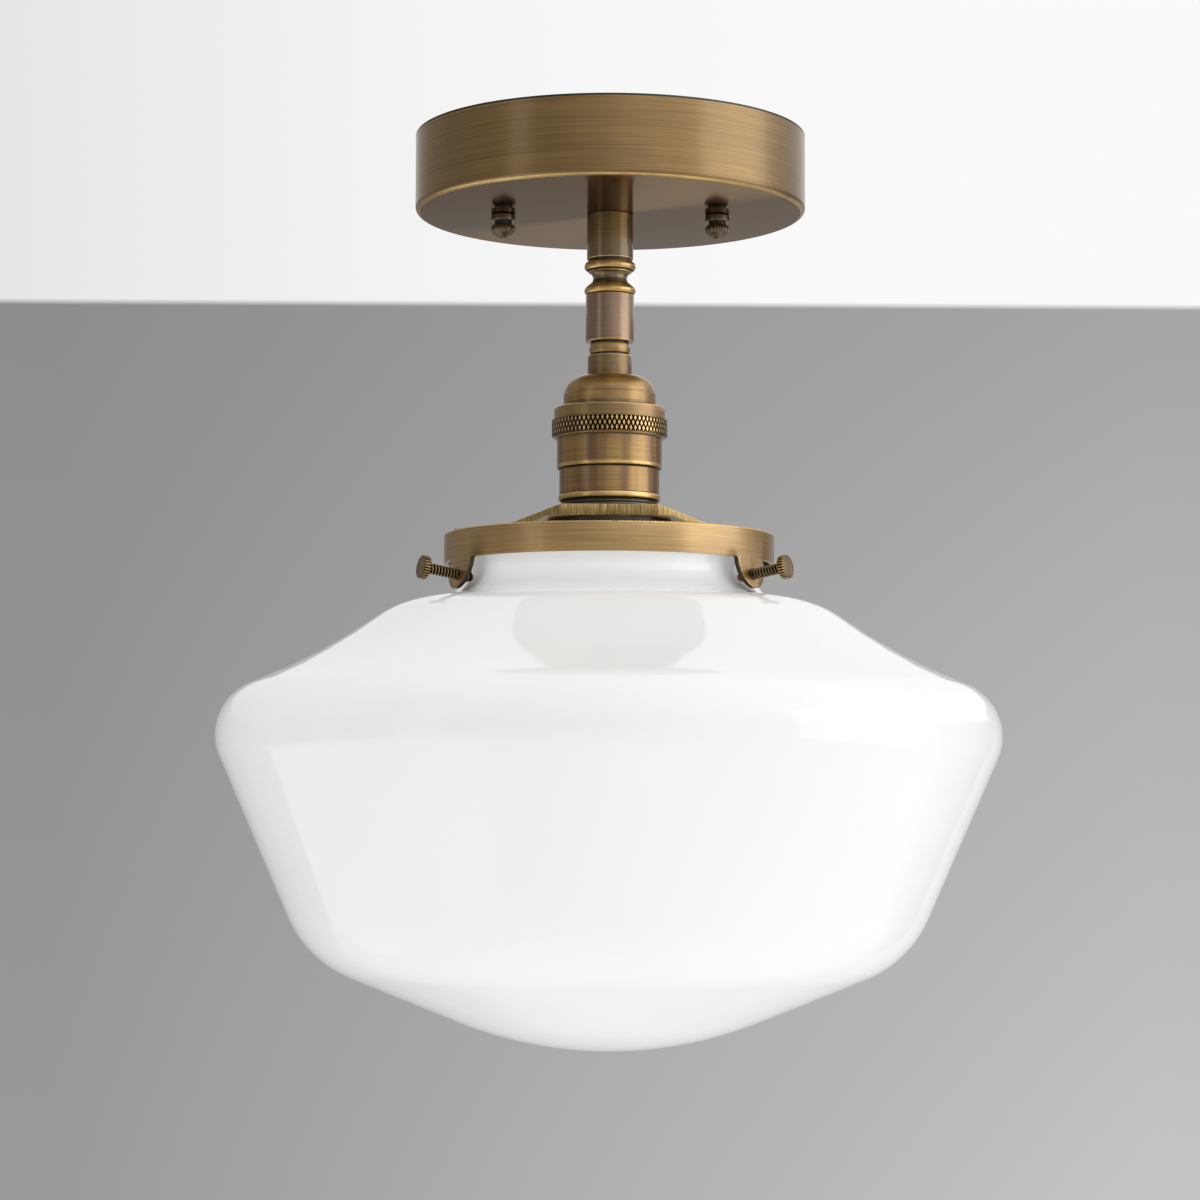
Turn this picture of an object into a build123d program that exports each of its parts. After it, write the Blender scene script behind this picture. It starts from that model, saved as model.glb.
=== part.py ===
from math import cos, radians, sin, sqrt, tan
import os

from build123d import *

# Semi flush ceiling light with a closed opal globe, in millimetres.
# Z is 0 at the ceiling and the light hangs down from it. X runs along the crossbar.

# ---------------------------------------------------------------- fits
thread_clearance = 0.05  # radial, a screw in its tapped hole
bore_clearance = 0.15  # radial, a bore over the rod
seat_gap = 0.05  # between loose-fitting faces
moving_gap = 0.3  # between pieces that move past each other

# ---------------------------------------------------------------- canopy
canopy_diameter = 127.0
canopy_depth = 25.4
canopy_wall = 1.2
canopy_edge_radius = 1.8

# ---------------------------------------------------------------- crossbar
bar_end = 4.55  # beyond each slot
bar_width = 19.0
bar_thickness = 1.6
bar_corner_radius = 3.0
bar_centre_hole = 10.4
box_screw_spacing = 88.9
box_slot_length = 10.0
box_slot_width = 4.8
stud_spacing = 69.85
stud_diameter = 4.17
stud_end = 5.4  # how far a stud stands out below the canopy
stud_hole_clearance = 0.35
nut_width = 8.7
nut_height = 3.2
ground_screw_offset = 19.0
ground_screw_diameter = 4.17
ground_head_width = 8.0
ground_head_height = 3.0
ground_flange_diameter = 9.6
ground_flange_height = 0.8

# ---------------------------------------------------------------- canopy knobs
knob_diameter = 7.9
knob_collar_height = 2.2
knob_neck_diameter = 5.6
knob_neck_height = 1.1
knob_ball_height = 4.2
knob_ball_widest = 1.7  # from the top of the ball down
knob_tip_height = 0.4
knob_tip_diameter = 2.2

# ---------------------------------------------------------------- rod and stem
rod_diameter = 9.7
rod_bore = 6.4
rod_end = 1.6  # how far the rod stands out above its nut
rod_reach = 5.0  # how far the rod goes into the socket's cap
washer_diameter = 17.0
washer_thickness = 1.2
stem_nut_width = 14.3
stem_nut_height = 4.0
tube_diameter = 15.1
tube_length = 14.9
edge_break = 0.35
neck_length = 11.6
neck_groove = 0.9
neck_groove_diameter = 14.4
bead_diameter = 16.7
bead_height = 2.8
neck_fillet_diameter = 14.0
neck_fillet_height = 0.5
waist_diameter = 11.3
waist_height = 0.8
waist_place = 4.0  # from the top of the sleeve up
waist_sweep = 1.15  # how far the waist's hollow has come in a third of the way down
waist_ridge = 0.45  # the step under the waist
bead_slope = 50.0  # degrees round the lower bead where its slope runs out
sleeve_diameter = 15.7
sleeve_length = 15.5
spacer_diameter = 13.4
spacer_end_diameter = 12.2
spacer_end_height = 0.5
spacer_length = 4.4
collar_diameter = 14.35
collar_length = 6.8

# ---------------------------------------------------------------- socket cap and ring
cap_height = 10.3
cap_dome_radius = 6.5
cap_wall = 1.2
cap_foot_step = 0.2
cap_foot_height = 4.4
cap_flange_width = 1.9  # beyond the dome
cap_flange_play = 0.4  # inside the cap ring
cap_flange_height = 1.2
cap_insulator_wall = 0.5
cap_ring_lip = 0.9
band_proud = 0.95  # beyond the shell it screws onto
band_height = 4.3
band_edge_radius = 0.8
knurl_proud = 0.75  # beyond the band
knurl_height = 5.3
knurl_bevel = 0.5
ring_foot_height = 0.7
ring_foot_proud = 0.2  # beyond the band

# ---------------------------------------------------------------- socket shell
shell_wall = 1.0
shell_height = 9.5
shell_step = 0.8  # from the lower shell out to the upper one
lower_step = 0.5  # from the thread out to the lower shell
lower_height = 8.8
step_height = 0.5
rim_bead_proud = 0.3  # beyond the lower shell
rim_bead_height = 2.1
thread_height = 11.0
mouth_lip_height = 0.7
mouth_play = 0.15  # round the screw shell

# ---------------------------------------------------------------- inside of the socket
core_top_drop = 5.7  # from the top of the cap ring to the top of the core
core_flange_height = 3.4
core_height = 6.4
core_recess_diameter = 12.0
core_recess_depth = 1.8
liner_wall = 0.5
liner_play = 0.3  # round the screw shell
lamp_play = 0.35  # between the screw shell and the lamp's base
screw_shell_wall = 0.4
screw_shell_length = 27.4
shell_rivet_inset = 3.65  # from the screw shell's wall in to its rivets
shell_rivet_angle = -32.0
rivet_diameter = 2.0
rivet_head_diameter = 3.4
rivet_head_height = 0.6
contact_rivet_offset = -3.0
contact_thickness = 0.5
contact_width = 6.0
contact_pad_length = 4.0
contact_drop = 3.2
contact_tip_length = 3.0
terminal_thickness = 0.7
terminal_width = 6.4
terminal_screw_inset = 5.3  # from the edge of the core in to the screws
terminal_screw_diameter = 3.2
terminal_screw_length = 3.0
terminal_head_diameter = 5.4
terminal_head_height = 1.6
terminal_slot_width = 0.8
terminal_slot_depth = 0.7

# ---------------------------------------------------------------- shade bridge
thread_showing = 2.5  # bare thread between the shell's bead and the bridge
hub_wall = 3.7  # round the tapped hole, front and back
hub_shoulder = -0.3  # from the edge of the tapped hole out to the bend, left and right
hub_thickness = 3.6
bridge_height = 8.5
bridge_bend_radius = 10.0
bridge_inset = 3.4  # from the band's outside to the end of a foot
foot_length = 14.5
foot_width = 16.0
foot_thickness = 1.8
retaining_width = 4.2
retaining_height = 3.5
retaining_edge_radius = 0.9
bridge_rivet_inset = 5.5
bridge_rivet_pitch = 8.0
bridge_rivet_diameter = 3.0
bridge_rivet_head = 4.4
bridge_rivet_head_height = 0.4

# ---------------------------------------------------------------- fitter ring and its screws
ring_wall = 1.5
ring_height = 9.4
ring_flange_width = 13.4
ring_edge_radius = 0.6
tab_length = 9.7
tab_flare_angle = 9.0  # degrees that each tab leans out
tab_root_width = 15.2
tab_tip_radius = 5.6
tab_root_fillet = 1.5
tab_count = 3
first_tab_angle = -33.0
screw_drop = 5.2  # from the band's lower edge to the screw's axis
screw_diameter = 3.5
screw_tip_height = 0.8
screw_tip_diameter = 2.0
screw_length = 15.9  # under the head
screw_head_diameter = 7.5
screw_head_height = 2.1
screw_head_bevel = 0.3
screw_neck_diameter = 2.9
screw_neck_length = 0.5

# ---------------------------------------------------------------- opal globe
glass_wall = 3.0
rim_gap = 0.5
lip_diameter = 101.6
lip_play = 1.1  # inside the fitter ring
lip_overhang = 3.9  # beyond the neck
lip_edge_radius = 1.7
lip_height = 1.2
lip_under = 3.0
glass_neck_height = 3.7
cove_radius = 9.3
shoulder_radius = 32.8
shoulder_angle = 35.8
sweep_radius = 175.0
sweep_angle = 21.1
belly_radius = 17.7
taper_angle = 23.6
taper_length = 55.5
corner_radius = 36.3
bowl_angle = 22.25
bowl_length = 36.4

# ---------------------------------------------------------------- bulb
bulb_base_diameter = 26.2
bulb_base_wall = 1.0
bulb_base_height = 23.0
bulb_base_bevel = 2.6  # from the base's wall in to its shoulder
bulb_shoulder_height = 1.6
bulb_insulator_rim = 0.7  # round the contact
bulb_insulator_height = 2.4
bulb_contact_diameter = 9.6
bulb_contact_height = 1.1
bulb_neck_proud = 0.1  # beyond the base
bulb_neck_height = 6.0
bulb_seat_depth = 3.0
bulb_diameter = 60.0
bulb_shoulder_angle = 44.0
bulb_wall = 0.9

# ---------------------------------------------------------------- heights, worked out downwards
canopy_floor = -canopy_depth + canopy_wall
tube_top = -canopy_depth
neck_top = tube_top - tube_length
sleeve_top = neck_top - neck_length
spacer_top = sleeve_top - sleeve_length
collar_top = spacer_top - spacer_length
cap_top = collar_top - collar_length
ring_top = cap_top - cap_height
knurl_top = ring_top - band_height
ring_foot_top = knurl_top - knurl_height
ring_foot = ring_foot_top - ring_foot_height
cap_flange_top = ring_top - cap_ring_lip - seat_gap
cap_flange_foot = cap_flange_top - cap_flange_height
shell_top = cap_flange_foot - seat_gap
lower_top = ring_foot - shell_height
rim_bead_top = lower_top - lower_height
thread_top = rim_bead_top - rim_bead_height
mouth = thread_top - thread_height
core_top = ring_top - core_top_drop
core_step = core_top - core_flange_height
core_foot = core_top - core_height
recess_top = core_foot + core_recess_depth
bridge_top = thread_top - thread_showing
hub_foot = bridge_top - hub_thickness
fitter_top = bridge_top - bridge_height
fitter_foot = fitter_top - ring_height
tab_foot = fitter_foot - tab_length
screw_height = fitter_foot - screw_drop
rim_top = fitter_top - ring_wall - rim_gap

bar_length = box_screw_spacing + box_slot_length + 2 * bar_end
canopy_radius = canopy_diameter / 2
rod_radius = rod_diameter / 2
stem_bore = rod_radius + bore_clearance

# the lamp holder is sized from the lamp's base outwards
base_radius = bulb_base_diameter / 2
screw_shell_radius = base_radius + lamp_play + screw_shell_wall
liner_radius = screw_shell_radius + liner_play + liner_wall
thread_radius = liner_radius + 2 * seat_gap + shell_wall
lower_radius = thread_radius + lower_step
rim_radius = lower_radius + rim_bead_proud
shell_radius = lower_radius + shell_step
ring_bore = shell_radius + thread_clearance
cap_flange_radius = ring_bore - cap_flange_play
cap_radius = cap_flange_radius - cap_flange_width
band_radius = shell_radius + band_proud
knurl_radius = band_radius + knurl_proud
core_flange_radius = shell_radius - shell_wall - bore_clearance
core_radius = liner_radius - liner_wall - bore_clearance
tapped_hub = thread_radius + thread_clearance
retaining_radius = tapped_hub + retaining_width

# the fitter ring and its bridge are sized from the globe's lip outwards
lip_radius = lip_diameter / 2
neck_radius = lip_radius - lip_overhang
ring_inside = lip_radius + lip_play
ring_radius = ring_inside + ring_wall
flange_bore_radius = ring_radius - ring_flange_width
bridge_reach = ring_radius - bridge_inset
bridge_rivet_place = bridge_reach - bridge_rivet_inset

os.makedirs("parts", exist_ok=True)


def write(piece, name):
    piece.part.label = name
    export_step(piece.part, f"parts/{name}.step")


def collar_outline(inner, outer, top, foot, bevel):
    """A ring's section: square to its bore, with both outer edges broken."""
    Polyline(
        (inner, top),
        (outer - bevel, top),
        (outer, top - bevel),
        (outer, foot + bevel),
        (outer - bevel, foot),
        (inner, foot),
        close=True,
    )


def polar_point(radius, angle, height):
    return (radius * cos(radians(angle)), radius * sin(radians(angle)), height)


# ---------------------------------------------------------------- ceiling hardware
with BuildPart() as canopy:
    with BuildSketch(Plane.XY.offset(-canopy_depth)):
        Circle(canopy_radius)
    extrude(amount=canopy_depth)
    fillet(canopy.faces().sort_by(Axis.Z)[0].edges(), canopy_edge_radius)
    rim = canopy.faces().sort_by(Axis.Z)[-1]
    offset(amount=-canopy_wall, openings=rim)
    with Locations((0, 0, canopy_floor)):
        Hole(rod_radius + bore_clearance)
    with Locations((0, 0, canopy_floor)), GridLocations(stud_spacing, 0, 2, 1):
        Hole(stud_diameter / 2 + stud_hole_clearance)
write(canopy, "canopy")

with BuildPart() as crossbar:
    with BuildSketch():
        RectangleRounded(bar_length, bar_width, bar_corner_radius)
        Circle(bar_centre_hole / 2, mode=Mode.SUBTRACT)
        with GridLocations(box_screw_spacing, 0, 2, 1):
            SlotOverall(box_slot_length, box_slot_width, mode=Mode.SUBTRACT)
        with GridLocations(stud_spacing, 0, 2, 1):
            Circle(stud_diameter / 2 + thread_clearance, mode=Mode.SUBTRACT)
        with Locations((ground_screw_offset, 0)):
            Circle(ground_screw_diameter / 2 + thread_clearance, mode=Mode.SUBTRACT)
    extrude(amount=-bar_thickness)
write(crossbar, "crossbar")

ground_seat = -bar_thickness - ground_flange_height
with BuildPart() as ground_screw:
    with BuildSketch(Plane.XY.offset(-bar_thickness)):
        with Locations((ground_screw_offset, 0)):
            Circle(ground_flange_diameter / 2)
    extrude(amount=-ground_flange_height)
    with BuildSketch(Plane.XY.offset(ground_seat)):
        with Locations((ground_screw_offset, 0)):
            RegularPolygon(ground_head_width / 2, 6, major_radius=False)
    extrude(amount=-ground_head_height)
    with BuildSketch(Plane.XY.offset(ground_seat)):
        with Locations((ground_screw_offset, 0)):
            Circle(ground_screw_diameter / 2)
    extrude(amount=bar_thickness + ground_flange_height)
write(ground_screw, "ground_screw")

stud_length = canopy_depth + stud_end
with BuildPart() as canopy_studs:
    with BuildSketch():
        with GridLocations(stud_spacing, 0, 2, 1):
            Circle(stud_diameter / 2)
    extrude(amount=-stud_length)
    chamfer(canopy_studs.faces().sort_by(Axis.Z)[:2].edges(), edge_break)
write(canopy_studs, "canopy_studs")

with BuildPart() as stud_lock_nuts:
    with BuildSketch(Plane.XY.offset(-bar_thickness)):
        with GridLocations(stud_spacing, 0, 2, 1):
            RegularPolygon(nut_width / 2, 6, major_radius=False)
            Circle(stud_diameter / 2 + thread_clearance, mode=Mode.SUBTRACT)
    extrude(amount=-nut_height)
write(stud_lock_nuts, "stud_lock_nuts")

# ---------------------------------------------------------------- canopy knobs
knob_top = -canopy_depth - seat_gap
knob_waist = knob_top - knob_collar_height
ball_top = knob_waist - knob_neck_height
ball_foot = ball_top - knob_ball_height
knob_bore_depth = stud_end - seat_gap + 2 * moving_gap


def turn_knob(side):
    """A finial nut: collar, waist and a flattened ball that ends in a small tip."""
    centre = Plane(origin=(side * stud_spacing / 2, 0, 0), x_dir=(1, 0, 0), z_dir=(0, -1, 0))
    with BuildPart() as knob:
        with BuildSketch(centre):
            with BuildLine():
                Polyline(
                    (0, ball_foot),
                    (0, knob_top),
                    (knob_diameter / 2 - edge_break, knob_top),
                    (knob_diameter / 2, knob_top - edge_break),
                    (knob_diameter / 2, knob_waist + edge_break),
                    (knob_diameter / 2 - edge_break, knob_waist),
                    (knob_neck_diameter / 2, knob_waist),
                    (knob_neck_diameter / 2, ball_top),
                )
                ThreePointArc(
                    (knob_neck_diameter / 2, ball_top),
                    (knob_diameter / 2, ball_top - knob_ball_widest),
                    (knob_tip_diameter / 2, ball_foot),
                )
                Polyline(
                    (knob_tip_diameter / 2, ball_foot), (0, ball_foot - knob_tip_height), (0, ball_foot)
                )
            make_face()
        revolve(axis=Axis(centre.origin, (0, 0, 1)))
        with BuildSketch(Plane.XY.offset(knob_top)):
            with Locations((side * stud_spacing / 2, 0)):
                Circle(stud_diameter / 2 + thread_clearance)
        extrude(amount=-knob_bore_depth, mode=Mode.SUBTRACT)
    return knob


write(turn_knob(-1), "canopy_knob_left")
write(turn_knob(1), "canopy_knob_right")

# ---------------------------------------------------------------- rod, nut and washer
rod_top = canopy_floor + washer_thickness + stem_nut_height + rod_end
rod_foot = cap_top - rod_reach
with BuildPart() as threaded_rod:
    with BuildSketch(Plane.XY.offset(rod_foot)):
        Circle(rod_radius)
        Circle(rod_bore / 2, mode=Mode.SUBTRACT)
    extrude(amount=rod_top - rod_foot)
    chamfer(threaded_rod.edges().filter_by(GeomType.CIRCLE).group_by(SortBy.RADIUS)[-1], edge_break)
write(threaded_rod, "threaded_rod")

with BuildPart() as lock_washer:
    with BuildSketch(Plane.XY.offset(canopy_floor)):
        Circle(washer_diameter / 2)
        Circle(stem_bore, mode=Mode.SUBTRACT)
    extrude(amount=washer_thickness)
write(lock_washer, "lock_washer")

with BuildPart() as stem_nut:
    with BuildSketch(Plane.XY.offset(canopy_floor + washer_thickness)):
        RegularPolygon(stem_nut_width / 2, 6, major_radius=False)
        Circle(rod_radius + thread_clearance, mode=Mode.SUBTRACT)
    extrude(amount=stem_nut_height)
write(stem_nut, "stem_nut")

# ---------------------------------------------------------------- turned stem
with BuildPart() as stem_tube:
    with BuildSketch(Plane.XZ):
        with BuildLine():
            collar_outline(stem_bore, tube_diameter / 2, tube_top, neck_top, edge_break)
        make_face()
    revolve(axis=Axis.Z)
write(stem_tube, "stem_tube")

bead_radius = bead_diameter / 2
bead_land = bead_radius - bead_height / 2
upper_bead = neck_top - neck_groove
lower_bead = sleeve_top + bead_height / 2
waist_foot = sleeve_top + waist_place
waist_top = waist_foot + waist_height
fillet_foot = upper_bead - bead_height - neck_fillet_height
slope_end = (
    bead_land + bead_height / 2 * cos(radians(bead_slope)),
    lower_bead + bead_height / 2 * sin(radians(bead_slope)),
)
with BuildPart() as turned_neck:
    with BuildSketch(Plane.XZ):
        with BuildLine():
            Polyline(
                (stem_bore, sleeve_top),
                (stem_bore, neck_top),
                (neck_groove_diameter / 2, neck_top),
                (neck_groove_diameter / 2, upper_bead),
                (bead_land, upper_bead),
            )
            ThreePointArc(
                (bead_land, upper_bead),
                (bead_radius, upper_bead - bead_height / 2),
                (bead_land, upper_bead - bead_height),
            )
            Polyline(
                (bead_land, upper_bead - bead_height),
                (neck_fillet_diameter / 2, upper_bead - bead_height),
                (neck_fillet_diameter / 2, fillet_foot),
            )
            ThreePointArc(
                (neck_fillet_diameter / 2, fillet_foot),
                (neck_fillet_diameter / 2 - waist_sweep, (2 * fillet_foot + waist_top) / 3),
                (waist_diameter / 2, waist_top),
            )
            Polyline(
                (waist_diameter / 2, waist_top),
                (waist_diameter / 2, waist_foot),
                (waist_diameter / 2 + waist_ridge, waist_foot),
                slope_end,
            )
            ThreePointArc(slope_end, (bead_radius, lower_bead), (bead_land, sleeve_top))
            Line((bead_land, sleeve_top), (stem_bore, sleeve_top))
        make_face()
    revolve(axis=Axis.Z)
write(turned_neck, "turned_neck")

with BuildPart() as stem_sleeve:
    with BuildSketch(Plane.XZ):
        with BuildLine():
            collar_outline(stem_bore, sleeve_diameter / 2, sleeve_top, spacer_top, edge_break)
        make_face()
    revolve(axis=Axis.Z)
write(stem_sleeve, "stem_sleeve")

with BuildPart() as spacer_ring:
    with BuildSketch(Plane.XZ):
        with BuildLine():
            Polyline(
                (spacer_end_diameter / 2, collar_top + spacer_end_height),
                (spacer_end_diameter / 2, collar_top),
                (stem_bore, collar_top),
                (stem_bore, spacer_top),
                (spacer_end_diameter / 2, spacer_top),
                (spacer_end_diameter / 2, spacer_top - spacer_end_height),
            )
            ThreePointArc(
                (spacer_end_diameter / 2, spacer_top - spacer_end_height),
                (spacer_diameter / 2, (spacer_top + collar_top) / 2),
                (spacer_end_diameter / 2, collar_top + spacer_end_height),
            )
        make_face()
    revolve(axis=Axis.Z)
write(spacer_ring, "spacer_ring")

with BuildPart() as socket_collar:
    with BuildSketch(Plane.XZ):
        with BuildLine():
            collar_outline(stem_bore, collar_diameter / 2, collar_top, cap_top, edge_break)
        make_face()
    revolve(axis=Axis.Z)
write(socket_collar, "socket_collar")

# ---------------------------------------------------------------- socket cap and its ring
cap_foot_radius = cap_radius + cap_foot_step
cap_foot_top = ring_top + cap_foot_height
cap_bore = rod_radius + thread_clearance
dome_flat = cap_radius - cap_dome_radius
with BuildPart() as socket_cap:
    with BuildSketch(Plane.XZ):
        with BuildLine():
            Line((cap_bore, cap_top), (dome_flat, cap_top))
            outside = JernArc((dome_flat, cap_top), (1, 0), cap_dome_radius, -90)
            Polyline(
                outside @ 1,
                (cap_radius, cap_foot_top),
                (cap_foot_radius, cap_foot_top - cap_foot_step),
                (cap_foot_radius, cap_flange_top),
                (cap_flange_radius, cap_flange_top),
                (cap_flange_radius, cap_flange_foot),
                (cap_radius - cap_wall, cap_flange_foot),
                (cap_radius - cap_wall, (outside @ 1).Y),
            )
            inside = JernArc(
                (dome_flat, cap_top - cap_wall), (1, 0), cap_dome_radius - cap_wall, -90
            )
            Line((dome_flat, cap_top - cap_wall), (cap_bore, cap_top - cap_wall))
            Line((cap_bore, cap_top - cap_wall), (cap_bore, cap_top))
        make_face()
    revolve(axis=Axis.Z)
write(socket_cap, "socket_cap")

liner_gap = cap_wall + seat_gap
liner_dome = cap_dome_radius - liner_gap
with BuildPart() as cap_insulator:
    with BuildSketch(Plane.XZ):
        with BuildLine():
            for depth in (0, cap_insulator_wall):
                top = cap_top - liner_gap - depth
                Line((cap_bore, top), (dome_flat, top))
                bend = JernArc((dome_flat, top), (1, 0), liner_dome - depth, -90)
                Line(bend @ 1, ((bend @ 1).X, cap_flange_foot))
            Line(
                (cap_radius - liner_gap, cap_flange_foot),
                (cap_radius - liner_gap - cap_insulator_wall, cap_flange_foot),
            )
            Line(
                (cap_bore, cap_top - liner_gap),
                (cap_bore, cap_top - liner_gap - cap_insulator_wall),
            )
        make_face()
    revolve(axis=Axis.Z)
write(cap_insulator, "cap_insulator")

with BuildPart() as cap_ring:
    with BuildSketch(Plane.XZ):
        with BuildLine():
            Line(
                (cap_foot_radius + seat_gap, ring_top),
                (band_radius - band_edge_radius, ring_top),
            )
            edge = JernArc(
                (band_radius - band_edge_radius, ring_top), (1, 0), band_edge_radius, -90
            )
            Polyline(
                edge @ 1,
                (band_radius, knurl_top),
                (knurl_radius - knurl_bevel, knurl_top),
                (knurl_radius, knurl_top - knurl_bevel),
                (knurl_radius, ring_foot_top + knurl_bevel),
                (knurl_radius - knurl_bevel, ring_foot_top),
                (band_radius + ring_foot_proud, ring_foot_top),
                (band_radius + ring_foot_proud, ring_foot),
                (ring_bore, ring_foot),
                (ring_bore, ring_top - cap_ring_lip),
                (cap_foot_radius + seat_gap, ring_top - cap_ring_lip),
                (cap_foot_radius + seat_gap, ring_top),
            )
        make_face()
    revolve(axis=Axis.Z)
write(cap_ring, "cap_ring")

# ---------------------------------------------------------------- socket shell
mouth_radius = screw_shell_radius + mouth_play
with BuildPart() as socket_shell:
    with BuildSketch(Plane.XZ):
        with BuildLine():
            Polyline(
                (shell_radius - shell_wall, shell_top),
                (shell_radius, shell_top),
                (shell_radius, lower_top + edge_break),
                (shell_radius - edge_break, lower_top),
                (lower_radius, lower_top - step_height),
                (lower_radius, rim_bead_top),
            )
            ThreePointArc(
                (lower_radius, rim_bead_top),
                (rim_radius, rim_bead_top - rim_bead_height / 2),
                (lower_radius, thread_top),
            )
            Polyline(
                (lower_radius, thread_top),
                (thread_radius, thread_top),
                (thread_radius, mouth),
                (mouth_radius, mouth),
                (mouth_radius, mouth + mouth_lip_height),
                (thread_radius - shell_wall, mouth + mouth_lip_height),
                (thread_radius - shell_wall, thread_top),
                (lower_radius - shell_wall, rim_bead_top),
                (lower_radius - shell_wall, lower_top - step_height),
                (shell_radius - shell_wall, lower_top),
                (shell_radius - shell_wall, shell_top),
            )
        make_face()
    revolve(axis=Axis.Z)
write(socket_shell, "socket_shell")

# ---------------------------------------------------------------- inside of the socket
terminal_top = core_top + terminal_thickness
shell_rivet_offset = screw_shell_radius - shell_rivet_inset
terminal_screw_offset = core_flange_radius - terminal_screw_inset
rivet_points = [
    polar_point(shell_rivet_offset, shell_rivet_angle + turn, 0) for turn in (0, 180)
]
neutral_screw = polar_point(terminal_screw_offset, -shell_rivet_angle / 2, 0)
screw_points = [(-terminal_screw_offset, 0, 0), neutral_screw]
rivet_hole = rivet_diameter / 2 + thread_clearance
screw_hole = terminal_screw_diameter / 2 + thread_clearance

with BuildPart() as socket_core:
    with BuildSketch(Plane.XY.offset(core_top)):
        Circle(core_flange_radius)
    extrude(amount=-core_flange_height)
    with BuildSketch(Plane.XY.offset(core_step)):
        Circle(core_radius)
    extrude(amount=core_foot - core_step)
    with BuildSketch(Plane.XY.offset(core_foot)):
        Circle(core_recess_diameter / 2)
    extrude(amount=core_recess_depth, mode=Mode.SUBTRACT)
    with BuildSketch(Plane.XY.offset(core_top)):
        with Locations(*rivet_points, (contact_rivet_offset, 0, 0)):
            Circle(rivet_hole)
    extrude(amount=-core_height, mode=Mode.SUBTRACT)
    with BuildSketch(Plane.XY.offset(core_top)):
        with Locations(*screw_points):
            Circle(screw_hole)
    extrude(amount=-terminal_screw_length, mode=Mode.SUBTRACT)
write(socket_core, "socket_core")

with BuildPart() as shell_insulator:
    with BuildSketch(Plane.XY.offset(mouth + mouth_lip_height + seat_gap)):
        Circle(liner_radius)
        Circle(liner_radius - liner_wall, mode=Mode.SUBTRACT)
    extrude(amount=core_step - 2 * seat_gap - mouth - mouth_lip_height)
write(shell_insulator, "shell_insulator")

screw_shell_top = core_foot
with BuildPart() as screw_shell:
    with BuildSketch(Plane.XY.offset(screw_shell_top)):
        Circle(screw_shell_radius)
    extrude(amount=-screw_shell_length)
    with BuildSketch(Plane.XY.offset(screw_shell_top - screw_shell_wall)):
        Circle(screw_shell_radius - screw_shell_wall)
    extrude(amount=screw_shell_wall - screw_shell_length, mode=Mode.SUBTRACT)
    with BuildSketch(Plane.XY.offset(screw_shell_top)):
        Circle(core_recess_diameter / 2)
        with Locations(*rivet_points):
            Circle(rivet_hole)
    extrude(amount=-screw_shell_wall, mode=Mode.SUBTRACT)
write(screw_shell, "screw_shell")

pad_end = contact_rivet_offset + contact_pad_length / 2
contact_low = recess_top - contact_drop
with BuildPart() as centre_contact:
    with BuildSketch(Plane.XZ):
        with BuildLine():
            Polyline(
                (pad_end - contact_pad_length, recess_top - contact_thickness / 2),
                (pad_end, recess_top - contact_thickness / 2),
                (pad_end + contact_drop, contact_low + contact_thickness / 2),
                (pad_end + contact_drop + contact_tip_length, contact_low + contact_thickness / 2),
            )
        trace(line_width=contact_thickness)
    extrude(amount=contact_width / 2, both=True)
    with BuildSketch(Plane.XY.offset(recess_top)):
        with Locations((contact_rivet_offset, 0)):
            Circle(rivet_hole)
    extrude(amount=-contact_thickness, mode=Mode.SUBTRACT)
write(centre_contact, "centre_contact")


def terminal_plate(ends, holes):
    """A flat terminal on the core, from one end to the other, with its holes."""
    with BuildPart() as plate:
        with BuildSketch(Plane.XY.offset(core_top)):
            SlotCenterPoint((Vector(*ends[0]) + Vector(*ends[1])) / 2, ends[1], terminal_width)
            for place, radius in holes:
                with Locations(place):
                    Circle(radius, mode=Mode.SUBTRACT)
        extrude(amount=terminal_thickness)
    return plate


hot_screw = (-terminal_screw_offset, 0)
hot_rivet = (contact_rivet_offset, 0)
hot_terminal = terminal_plate(
    (hot_rivet, hot_screw), ((hot_rivet, rivet_hole), (hot_screw, screw_hole))
)
write(hot_terminal, "hot_terminal")

neutral_rivet = rivet_points[0][:2]
neutral_place = neutral_screw[:2]
neutral_terminal = terminal_plate(
    (neutral_rivet, neutral_place), ((neutral_rivet, rivet_hole), (neutral_place, screw_hole))
)
write(neutral_terminal, "neutral_terminal")

with BuildPart() as terminal_screws:
    with BuildSketch(Plane.XY.offset(terminal_top)):
        with Locations(*screw_points):
            Circle(terminal_head_diameter / 2)
    extrude(amount=terminal_head_height)
    with BuildSketch(Plane.XY.offset(terminal_top)):
        with Locations(*screw_points):
            Circle(terminal_screw_diameter / 2)
    extrude(amount=-terminal_thickness - terminal_screw_length + moving_gap)
    with BuildSketch(Plane.XY.offset(terminal_top + terminal_head_height)):
        with Locations(*screw_points):
            Rectangle(terminal_head_diameter, terminal_slot_width)
    extrude(amount=-terminal_slot_depth, mode=Mode.SUBTRACT)
write(terminal_screws, "terminal_screws")

with BuildPart() as contact_rivet:
    with BuildSketch(Plane.XY.offset(terminal_top)):
        with Locations((contact_rivet_offset, 0)):
            Circle(rivet_head_diameter / 2)
    extrude(amount=rivet_head_height)
    with BuildSketch(Plane.XY.offset(terminal_top)):
        with Locations((contact_rivet_offset, 0)):
            Circle(rivet_diameter / 2)
    extrude(amount=recess_top - contact_thickness - terminal_top)
    with BuildSketch(Plane.XY.offset(recess_top - contact_thickness)):
        with Locations((contact_rivet_offset, 0)):
            Circle(rivet_head_diameter / 2)
    extrude(amount=-rivet_head_height)
write(contact_rivet, "contact_rivet")

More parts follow.
